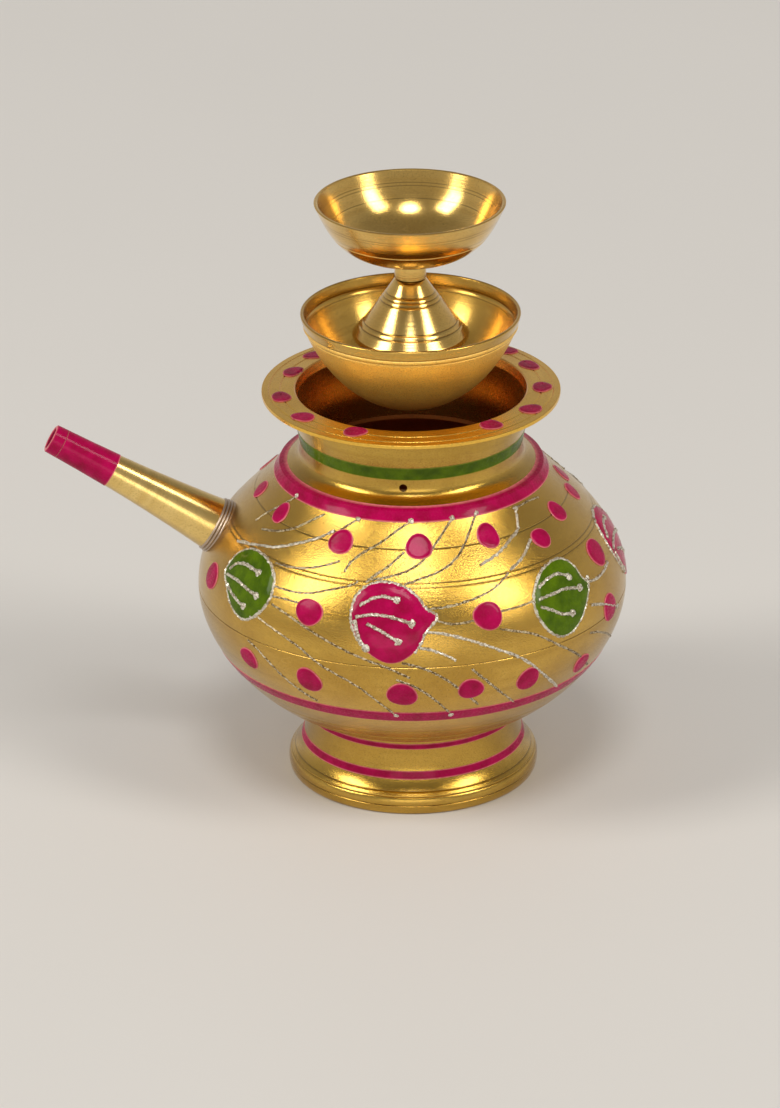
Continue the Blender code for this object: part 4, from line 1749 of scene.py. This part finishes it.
    def _draw_vines(self, turn: float) -> None:
        """Draw the vines and their beads, those at the back only beside the side bud.

        Args:
            turn: How far they are moved round the belly.
        """
        groups = (
            (self.vines, self.fine_lines, self.fine_radius, self.fine_lift),
            (self.bold_vines, self.bold_lines, self.bold_radius, self.bold_lift),
        )
        for vines, lines, radius, lift in groups:
            for vine in vines:
                path = [self._place(spot, turn) for spot in vine]
                if turn and any(place and self._crowded(place, 0.0, self.side_bud) for place in path):
                    continue
                lines.extend(self._stroke(path, radius, False, lift))
        for spot in self.vine_beads:
            place = self._place(spot, turn)
            if place:
                self.bold_lines.append(self._head(place, self.bead_radius))

    def _place(self, spot: Spot, turn: float) -> Place | None:
        """Turn and height of a picture point, moved round the belly.

        Args:
            spot: Column and row in the picture.
            turn: How far to move it round the axis.

        Returns:
            The place, or None where the spout's root is.
        """
        angle, height = self.pot.find_on_belly(spot)
        away = math.remainder(angle + turn - self.spout_turn, math.tau)
        if turn and abs(away) < self.spout_clear:
            return None
        return angle + turn, height

    def _crowded(self, place: Place, radius: float, taken: list[tuple[Vector, float]]) -> bool:
        """Whether a place lies on something that is already painted.

        Args:
            place: Turn and height on the belly.
            radius: Room that it needs.
            taken: Middles and radii of what is there.

        Returns:
            True where there is no room.
        """
        point = self.pot.on_belly(*place)
        return any((point - middle).length < radius + reach for middle, reach in taken)

    def _round(self, place: Place, size: float) -> list[Vector]:
        """Outline of a dot on the belly.

        Args:
            place: Turn and height of its middle.
            size: Its radius.

        Returns:
            Points round it.
        """
        middle = self.pot.on_belly(*place, self.patch_lift)
        out = (middle - self.pot.on_belly(*place)).normalized()
        across = Vector((0.0, 0.0, 1.0)).cross(out).normalized()
        up = out.cross(across)
        points = []
        wobble = math.sin(place[0] * 37.0 + place[1] * 900.0)
        for index in range(self.dot_corners):
            angle = math.tau * index / self.dot_corners
            oval = self.dot_oval * wobble * math.cos(2 * angle + wobble * 3.0)
            lobes = self.dot_lobes * math.cos(3 * angle + 9.0 * wobble)
            radius = size * (1.0 + (oval + lobes))
            points.append(middle + (across * math.cos(angle) + up * math.sin(angle)) * radius)
        return points

    def _smooth(self, places: list[Place], steps: int, closed: bool, lift: float = 0.0) -> list[Vector]:
        """Smooth path over the belly through a few places.

        Args:
            places: Turns and heights on the path.
            steps: Points between two places.
            closed: Whether the path returns to its start.
            lift: Distance out from the belly.

        Returns:
            Points over the belly, without the end that repeats the start.
        """
        last = len(places) - 1
        path = []
        for index in range(last):
            if closed:
                before, after = places[(index - 1) % last], places[(index + 2) % last]
            else:
                before, after = places[max(index - 1, 0)], places[min(index + 2, last)]
            here, there = places[index], places[index + 1]
            for step in range(steps):
                t = step / steps
                pair = []
                for k in (0, 1):
                    m0 = (there[k] - before[k]) / 2
                    m1 = (after[k] - here[k]) / 2
                    value = (2 * t ** 3 - 3 * t * t + 1) * here[k] + (t ** 3 - 2 * t * t + t) * m0
                    value += (3 * t * t - 2 * t ** 3) * there[k] + (t ** 3 - t * t) * m1
                    pair.append(value)
                path.append(self.pot.on_belly(*pair, lift))
        if not closed:
            path.append(self.pot.on_belly(*places[last], lift))
        return path

    def _patch(self, points: list[Vector], ground: Piece) -> Piece:
        """Fill an outline with a fine net of faces and press it onto a surface.

        Args:
            points: The outline.
            ground: The surface under it.

        Returns:
            The sheet, still without thickness.
        """
        piece = Bench.chain("paint", points + points[:1])
        Bench.weld()
        bpy.ops.mesh.edge_face_add()
        bpy.ops.mesh.inset(thickness=self.patch_hem)
        bpy.ops.mesh.poke()
        bpy.ops.mesh.subdivide(number_cuts=self.patch_cuts)
        bpy.ops.object.mode_set(mode="OBJECT")
        Bench.apply(
            piece, "SHRINKWRAP", target=ground, wrap_method="NEAREST_SURFACEPOINT",
            wrap_mode="ABOVE_SURFACE", offset=self.patch_gap,
        )
        return piece

    def _lay(self, name: str, sheets: list[Piece], ground: Piece) -> Piece:
        """Join sheets of paint, mark their edges for the painted highlight and give them thickness.

        Args:
            name: Name of the painted piece.
            sheets: Sheets without thickness.
            ground: The surface under them.

        Returns:
            The painted piece.
        """
        piece = Bench.join(name, sheets)
        centre = sum((Vector(c) for c in ground.bound_box), Vector()) / 8
        uses: dict[tuple[int, int], int] = {}
        for face in piece.data.polygons:
            for key in face.edge_keys:
                uses[key] = uses.get(key, 0) + 1
        edges = {corner for key, count in uses.items() if count == 1 for corner in key}
        mark_highlight_edges(piece, edges)
        inner = [index for index in range(len(piece.data.vertices)) if index not in edges]
        piece.vertex_groups.new(name="thick").add(inner, 1.0, "REPLACE")
        for face in piece.data.polygons:
            if (face.center - centre).dot(face.normal) < 0.0:
                face.flip()
        Bench.apply(
            piece, "SOLIDIFY", thickness=self.paint, offset=1.0, vertex_group="thick",
            thickness_vertex_group=self.edge_thickness,
        )
        bpy.ops.object.shade_smooth_by_angle(angle=self.patch_smooth)
        return piece

    def _stroke(
        self, places: list[Place | None], radius: float, closed: bool = False, lift: float = 0.0
    ) -> list[Piece]:
        """Draw one glitter line over the belly.

        Args:
            places: Turns and heights on its path, None where it can't go.
            radius: Half the line's width.
            closed: Whether it returns to its start.
            lift: Height of the paint that it lies on.

        Returns:
            The line in a list, or an empty list where it can't go.
        """
        if None in places:
            return []
        path = self._smooth(places, self.line_steps, closed)
        raised = [point + self._outward(point) * (lift - self.line_sink) for point in path]
        Bench.chain("line", raised + (raised[:1] if closed else []))
        if closed:
            Bench.weld()
        bpy.ops.object.mode_set(mode="OBJECT")
        bpy.ops.object.convert(target="CURVE")
        line = bpy.context.object
        line.data.bevel_depth = radius
        line.data.bevel_resolution = 1
        line.data.use_fill_caps = True
        bpy.ops.object.convert(target="MESH")
        return [bpy.context.object]

    def _outward(self, point: Vector) -> Vector:
        """Find the direction out of the belly at a point on it.

        Args:
            point: The point.

        Returns:
            The direction.
        """
        out = point - self.pot.axis.origin
        turn = math.atan2(out.x, -out.y)
        return (self.pot.on_belly(turn, out.z, MM) - self.pot.on_belly(turn, out.z)).normalized()

    def _head(self, place: Place, radius: float) -> Piece:
        """Blob of glitter at the end of a line.

        Args:
            place: Turn and height of its middle.
            radius: Its radius.

        Returns:
            The blob.
        """
        Bench.clear()
        middle = self.pot.on_belly(*place, self.fine_lift)
        turn = self._outward(middle).to_track_quat("Z", "Y").to_euler()
        around, along = self.head_facets
        bpy.ops.mesh.primitive_uv_sphere_add(
            segments=around, ring_count=along, radius=radius, location=middle, rotation=turn,
            scale=(1.0, 1.0, self.head_height),
        )
        bpy.ops.object.transform_apply(location=True, rotation=True, scale=True)
        return bpy.context.object

    def _roughen(self, piece: Piece, depth: float) -> None:
        """Break up the smooth side of the glitter lines.

        Args:
            piece: The joined lines.
            depth: How far the flakes stand in and out.
        """
        flakes = bpy.data.textures.new("flakes", "CLOUDS")
        flakes.noise_scale = self.flake_size
        flakes.noise_depth = 1
        Bench.apply(piece, "DISPLACE", texture=flakes, texture_coords="LOCAL", strength=depth, mid_level=0.5)
        bpy.ops.object.shade_smooth_by_angle(angle=self.line_smooth)

    def _build_rim_dots(self) -> None:
        """Paint the dots on the flat rim, those behind the katori spaced like the rest."""
        pot = self.pot
        places = []
        for spot in self.rim_dots:
            eye, sight = pot.view.ray(pot.axis, spot)
            reach = (pot.rim_top(self.rim_sight_ring) - eye.z) / sight.z
            places.append(eye + sight * reach)
        lift = Vector((0.0, 0.0, self.rim_dot_lift))
        ring = self.rim_hidden_ring
        for turn in self.hidden_rim_dots:
            level = pot.axis.origin + facing(turn) * ring
            places.append(level + Vector((0.0, 0.0, pot.rim_top(ring))))
        sheets = []
        for index, middle in enumerate(places):
            out = middle - pot.axis.origin
            out.z = 0.0
            out.normalize()
            across = Vector((-out.y, out.x, 0.0))
            points = []
            for step in range(self.dot_corners):
                angle = math.tau * step / self.dot_corners
                oval = self.rim_dot_oval * math.sin(2 * angle + index)
                lobes = self.rim_dot_lobes * math.sin(3 * angle + 2.3 * index)
                aside = across * math.cos(angle) * self.rim_dot_wide
                shift = aside + out * math.sin(angle) * self.rim_dot_deep
                points.append(middle + shift * self.rim_dot_radius * (1.0 + oval + lobes) + lift)
            sheets.append(self._patch(points, pot.rim))
        piece = self._lay("rim_dots", sheets, pot.rim)
        # The rim dots take the darker magenta, which is painted shade.
        pot.shop.fit(piece, Body.LOTA, Slot.MAGENTA, [pot.enamel["rim_magenta_shaded"]])


@dataclass
class Katori:
    """The bowl that goes in the pot's mouth."""

    shop: Workshop
    effects: Effects
    axis: Axis
    segments: int = 192
    wall: float = 1.0 * MM
    lean: float = 4.5 * MM
    side: float = 12.7 * MM
    base: float = 16.5 * MM
    step_depth: float = 4.2 * MM
    step: float = 0.4 * MM
    edge: float = 0.4 * MM
    crown: float = 0.15 * MM
    band_tuck: float = 0.2 * MM
    band_upper: float = 1.5 * MM
    band_lower: float = 2.5 * MM
    grooves: tuple[float, ...] = (3.0 * MM, 4.5 * MM)
    groove_width: float = 0.7 * MM
    groove_depth: float = 0.2 * MM

    def build(self, bright: Brass, satin: Brass) -> None:
        """Build and dress the bowl.

        Args:
            bright: Finish of the inside and the rim.
            satin: Finish of the outside under the turned lines, a satin brass painted lighter as painted
                light.
        """
        low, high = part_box("katori_bowl")
        radius = (high.y - low.y) / 2
        depth = high.z - low.z
        shift = self.lean * self.step_depth / self.side / 2
        step = (radius - self.step - shift, -self.step_depth)
        ledge = step[0] + self.step
        band = curve(
            (radius, -self.edge), (radius - self.band_tuck, -self.band_upper),
            (ledge, -self.band_lower), (ledge, step[1] + self.step), Steps.ROUND,
        )
        hip = (radius - self.lean, -self.side)
        bowl = curve(step, hip, (self.base, -depth), (0.0, -depth), Steps.BODY)
        lines = tuple(-groove for groove in self.grooves)
        outer = engrave(band + bowl, lines, self.groove_width, self.groove_depth)
        outline = bowl_lining(band + bowl, self.wall, self.crown) + outer
        top = Axis(Vector((self.axis.origin.x, self.axis.origin.y, high.z)))
        piece = Bench.turn("katori_shell", outline, top, self.segments)
        materials = [satin.material(self.effects, self.axis), bright.material(self.effects, self.axis)]
        self.shop.fit(piece, Body.KATORI, Slot.KATORI_BRASS, materials, ("katori_bowl",))
        seam = high.z - self.grooves[0]
        for face in piece.data.polygons:
            below = face.center.z < seam and (face.center - top.origin).dot(face.normal) > 0.0
            face.material_index = Side.OUTSIDE.value if below else Side.INSIDE.value


@dataclass
class Diya:
    """The oil lamp: cup, cone stand and the stud between them."""

    shop: Workshop
    effects: Effects
    axis: Axis
    segments: int = 160
    cup_depth: float = 16.8 * MM
    cup_wall: float = 1.0 * MM
    cup_lean: float = 3.9 * MM
    cup_side: float = 8.4 * MM
    cup_base: float = 20.0 * MM
    stem_radius: float = 4.35 * MM
    stud_radius: float = 1.7 * MM
    stand_wall: float = 1.2 * MM
    stand_edge: float = 1.2 * MM
    stand_plate: float = 2.0 * MM
    seam: float = 0.3 * MM
    cone_lines: tuple[float, ...] = (143.3 * MM, 142.2 * MM, 141.2 * MM, 134.9 * MM, 133.7 * MM)
    cup_rings: tuple[float, ...] = (160.6 * MM, 155.2 * MM)
    line_width: float = 0.5 * MM
    cup_line_depth: float = 0.14 * MM
    cone_line_depth: float = 0.18 * MM
    cup_edge: float = 0.3 * MM
    cup_crown: float = 0.1 * MM
    stem_clear: float = 0.5 * MM
    stem_fillet: float = 0.8 * MM
    stem_bevel: float = 0.25 * MM
    stem_socket: float = 3.9 * MM
    cone_steps: int = 40
    cone_sag: float = 0.35 * MM
    cone_tuck: float = 0.2 * MM
    hem_bulge: float = 0.15 * MM
    hem_fall: float = 0.4 * MM
    hem_foot: float = 0.1 * MM
    hem_round: float = 0.3 * MM
    stud_head: float = 1.2 * MM
    stud_dome: float = 0.7 * MM
    stud_crown: float = 0.6
    stud_bevel: float = 0.3 * MM
    stud_segments: int = 48

    def build(self, bright: Brass, soft: Brass) -> None:
        """Build and dress the lamp.

        Args:
            bright: Finish of cup and stand.
            soft: Finish of the stud.
        """
        self.polished = bright.material(self.effects, self.axis)
        self._build_cup()
        self._build_stand()
        self._build_stud(soft.material(self.effects, self.axis))

    def _build_cup(self) -> None:
        """Turn the oil cup with its short stem."""
        low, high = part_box("diya_cup")
        radius = (high.y - low.y) / 2
        top = high.z
        pole = top - self.cup_depth
        side = curve(
            (radius, top - self.cup_edge), (radius - self.cup_lean, top - self.cup_side),
            (self.cup_base, pole), (0.0, pole), Steps.BODY,
        )
        lining = bowl_lining(side, self.cup_wall, top + self.cup_crown)
        outer = [p for p in side if p[0] > self.stem_radius + self.stem_clear]
        outer = engrave(outer, self.cup_rings, self.line_width, self.cup_line_depth)
        root = outer[-1]
        fillet = curve(
            root, (self.stem_radius, root[1]), (self.stem_radius, root[1]),
            (self.stem_radius, root[1] - self.stem_fillet), Steps.LIP,
        )[1:]
        bore = self.stud_radius + self.seam
        foot = low.z
        stem = [
            (self.stem_radius, foot + self.stem_bevel), (self.stem_radius - self.stem_bevel, foot),
            (bore, foot), (bore, foot + self.stem_socket), (0.0, foot + self.stem_socket),
        ]
        outline = lining + outer + fillet + stem
        piece = Bench.turn("diya_oil_cup", outline, self.axis, self.segments)
        self.shop.fit(piece, Body.DIYA, Slot.DIYA_BRASS, [self.polished], ("diya_cup",))

    def _build_stand(self) -> None:
        """Turn the hollow cone that carries the cup."""
        low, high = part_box("diya_stand")
        radius = (high.y - low.y) / 2
        edge = low.z + self.stand_edge
        slope = (radius - self.stem_radius) / (high.z - edge)
        side = []
        for index in range(self.cone_steps + 1):
            share = index / self.cone_steps
            sag = self.cone_sag * math.sin(math.pi * share)
            across = self.stem_radius + (radius - self.stem_radius) * share - sag
            side.append((across, high.z + (edge - high.z) * share))
        side = engrave(side, self.cone_lines, self.line_width, self.cone_line_depth)
        side[0] = (self.stem_radius - self.cone_tuck, high.z)
        wall = self.stand_wall * math.hypot(1.0, slope)
        plate = high.z - self.stand_plate
        bore = self.stud_radius + self.seam
        hem = curve(
            side[-1], (radius + self.hem_bulge, edge - self.hem_fall),
            (radius + self.hem_foot, low.z), (radius - self.hem_round, low.z), Steps.RIM,
        )
        under = [
            (radius - self.stand_wall, low.z), (radius - wall, edge),
            (self.stem_radius + slope * self.stand_plate - wall, plate), (bore, plate), (bore, high.z),
        ]
        outline = side + hem[1:] + under + side[:1]
        piece = Bench.turn("diya_cone", outline, self.axis, self.segments)
        self.shop.fit(piece, Body.DIYA, Slot.DIYA_BRASS, [self.polished], ("diya_stand",))

    def _build_stud(self, soft: Material) -> None:
        """Turn the headed stud that holds cup and stand together.

        Args:
            soft: Material of the stud.
        """
        low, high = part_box("diya_stud")
        head = (high.y - low.y) / 2
        head_top = low.z + self.stud_head
        dome = curve(
            (head, low.z + self.stud_dome), (head, low.z),
            (head * self.stud_crown, low.z), (0.0, low.z), Steps.ROUND,
        )
        shank = [
            (0.0, high.z), (self.stud_radius - self.stud_bevel, high.z),
            (self.stud_radius, high.z - self.stud_bevel), (self.stud_radius, head_top),
        ]
        outline = shank + [(head, head_top)] + dome
        piece = Bench.turn("diya_rivet", outline, self.axis, self.stud_segments)
        self.shop.fit(piece, Body.DIYA, Slot.DIYA_BRASS, [soft], ("diya_stud",))


BRASS_FINISHES: dict[str, Brass] = {
    "pot": Brass(
        "pot_brass", (0.68, 0.42, 0.07), (0.45, 0.245, 0.028), polish=0.13, dull=0.27, grain_depth=0.07 * MM,
        rings=Pot.belly_rings,
    ),
    "bright": Brass(
        "collar_brass", (0.62, 0.385, 0.06), (0.42, 0.235, 0.026), polish=0.1, dull=0.2,
        grain_depth=0.05 * MM, rings=(Pot.foot_line, Pot.foot_groove),
    ),
    "rim": Brass(
        "rim_brass", (1.0, 0.62, 0.1), (0.8, 0.44, 0.06), polish=0.14, dull=0.24, grain_depth=0.05 * MM,
        lacquer=0.15,
    ),
    # Inner side of foot, neck and rim: the brass painted lighter and redder, as painted light in the mouth.
    "inside": Brass("pot_inside_painted_light", (0.95, 0.5, 0.09), (0.66, 0.3, 0.042), polish=0.16, metallic=0.95),
    # Belly's inside: the brass painted darker and redder, as painted shade in the closed hollow.
    "cavity_shade": Brass(
        "pot_cavity", (0.5, 0.155, 0.024), (0.32, 0.095, 0.012), polish=0.4, dull=0.6, metallic=0.5
    ),
    "spout": Brass(
        "spout_brass", (0.9, 0.65, 0.23), (0.7, 0.45, 0.11), polish=0.13, dull=0.25, grain_depth=0.006 * MM
    ),
    "braze": Brass(
        "braze_ridges", (0.58, 0.47, 0.37), (0.36, 0.26, 0.18), polish=0.26, dull=0.45, line_density=1600.0
    ),
    "katori_bright": Brass(
        "katori_bright", (0.7, 0.43, 0.085), (0.52, 0.29, 0.04), polish=0.12, dull=0.24,
        rings=(134.2 * MM, 132.7 * MM),
    ),
    # Katori's outside: a satin finish, painted much lighter than the bowl's inside brass, as painted light on
    # its downward-facing side.
    "katori_satin_painted_light": Brass(
        "katori_satin_painted_light", (1.0, 0.64, 0.13), (0.96, 0.52, 0.075), polish=0.27, dull=0.42, grain_depth=0.18 * MM,
        metallic=0.6, speckle=0.6, rings=(134.2 * MM, 132.7 * MM), dent_depth=0.12 * MM,
        line_density=1500.0,
    ),
    "diya": Brass(
        "diya_brass", (0.86, 0.57, 0.16), (0.66, 0.39, 0.08), polish=0.1, dull=0.2, dent_depth=0.1 * MM,
        rings=(166.2 * MM, 165.4 * MM, 162.3 * MM, 147.15 * MM, *Diya.cone_lines),
    ),
    "rivet": Brass("rivet_brass", (0.7, 0.48, 0.16), (0.5, 0.3, 0.08), polish=0.25, dull=0.4),
}
# Each enamel: its colour, the deeper colour of its pools, and the pale colour of the highlight painted along
# its edges.
ENAMELS: dict[str, Enamel] = {
    "magenta": Enamel("magenta_enamel", (0.42, 0.001, 0.072), (0.28, 0.001, 0.037), (0.74, 0.21, 0.22)),
    # The rim's dots: the same magenta painted darker, as painted shade on the rim.
    "rim_magenta_shaded": Enamel("rim_enamel_shaded", (0.34, 0.001, 0.055), (0.2, 0.001, 0.028), (0.55, 0.16, 0.15)),
    "green": Enamel("green_enamel", (0.09, 0.16, 0.001), (0.045, 0.09, 0.001), (0.24, 0.26, 0.03)),
}
GLITTERS: dict[str, Glitter] = {
    "vine": Glitter("vine_glitter", (0.66, 0.56, 0.38), (0.14, 0.085, 0.03), flakes=3000.0, share=0.5),
    "leaf": Glitter("leaf_glitter", (0.74, 0.69, 0.58), (0.34, 0.27, 0.18), share=0.3),
}


def main() -> None:
    """Build the whole set, its ornament and the studio."""
    logging.basicConfig(level=logging.INFO, format="%(name)s %(message)s")
    effects = Effects()
    shop = Workshop()
    view = PhotoView()
    enamel = {colour: finish.material() for colour, finish in ENAMELS.items()}

    pot = Pot(view, shop, effects)
    pot.build(BRASS_FINISHES, enamel)
    Katori(shop, effects, pot.axis).build(BRASS_FINISHES["katori_bright"], BRASS_FINISHES["katori_satin_painted_light"])
    Diya(shop, effects, pot.axis).build(BRASS_FINISHES["diya"], BRASS_FINISHES["rivet"])
    Ornament(pot).build({name: finish.material() for name, finish in GLITTERS.items()})

    view.build(pot.axis)
    Studio().build(pot.axis.origin + Vector((0.0, 0.0, view.aim_height)))
    LOG.info("%d pieces", len(shop.names))


if __name__ == "__main__":
    main()
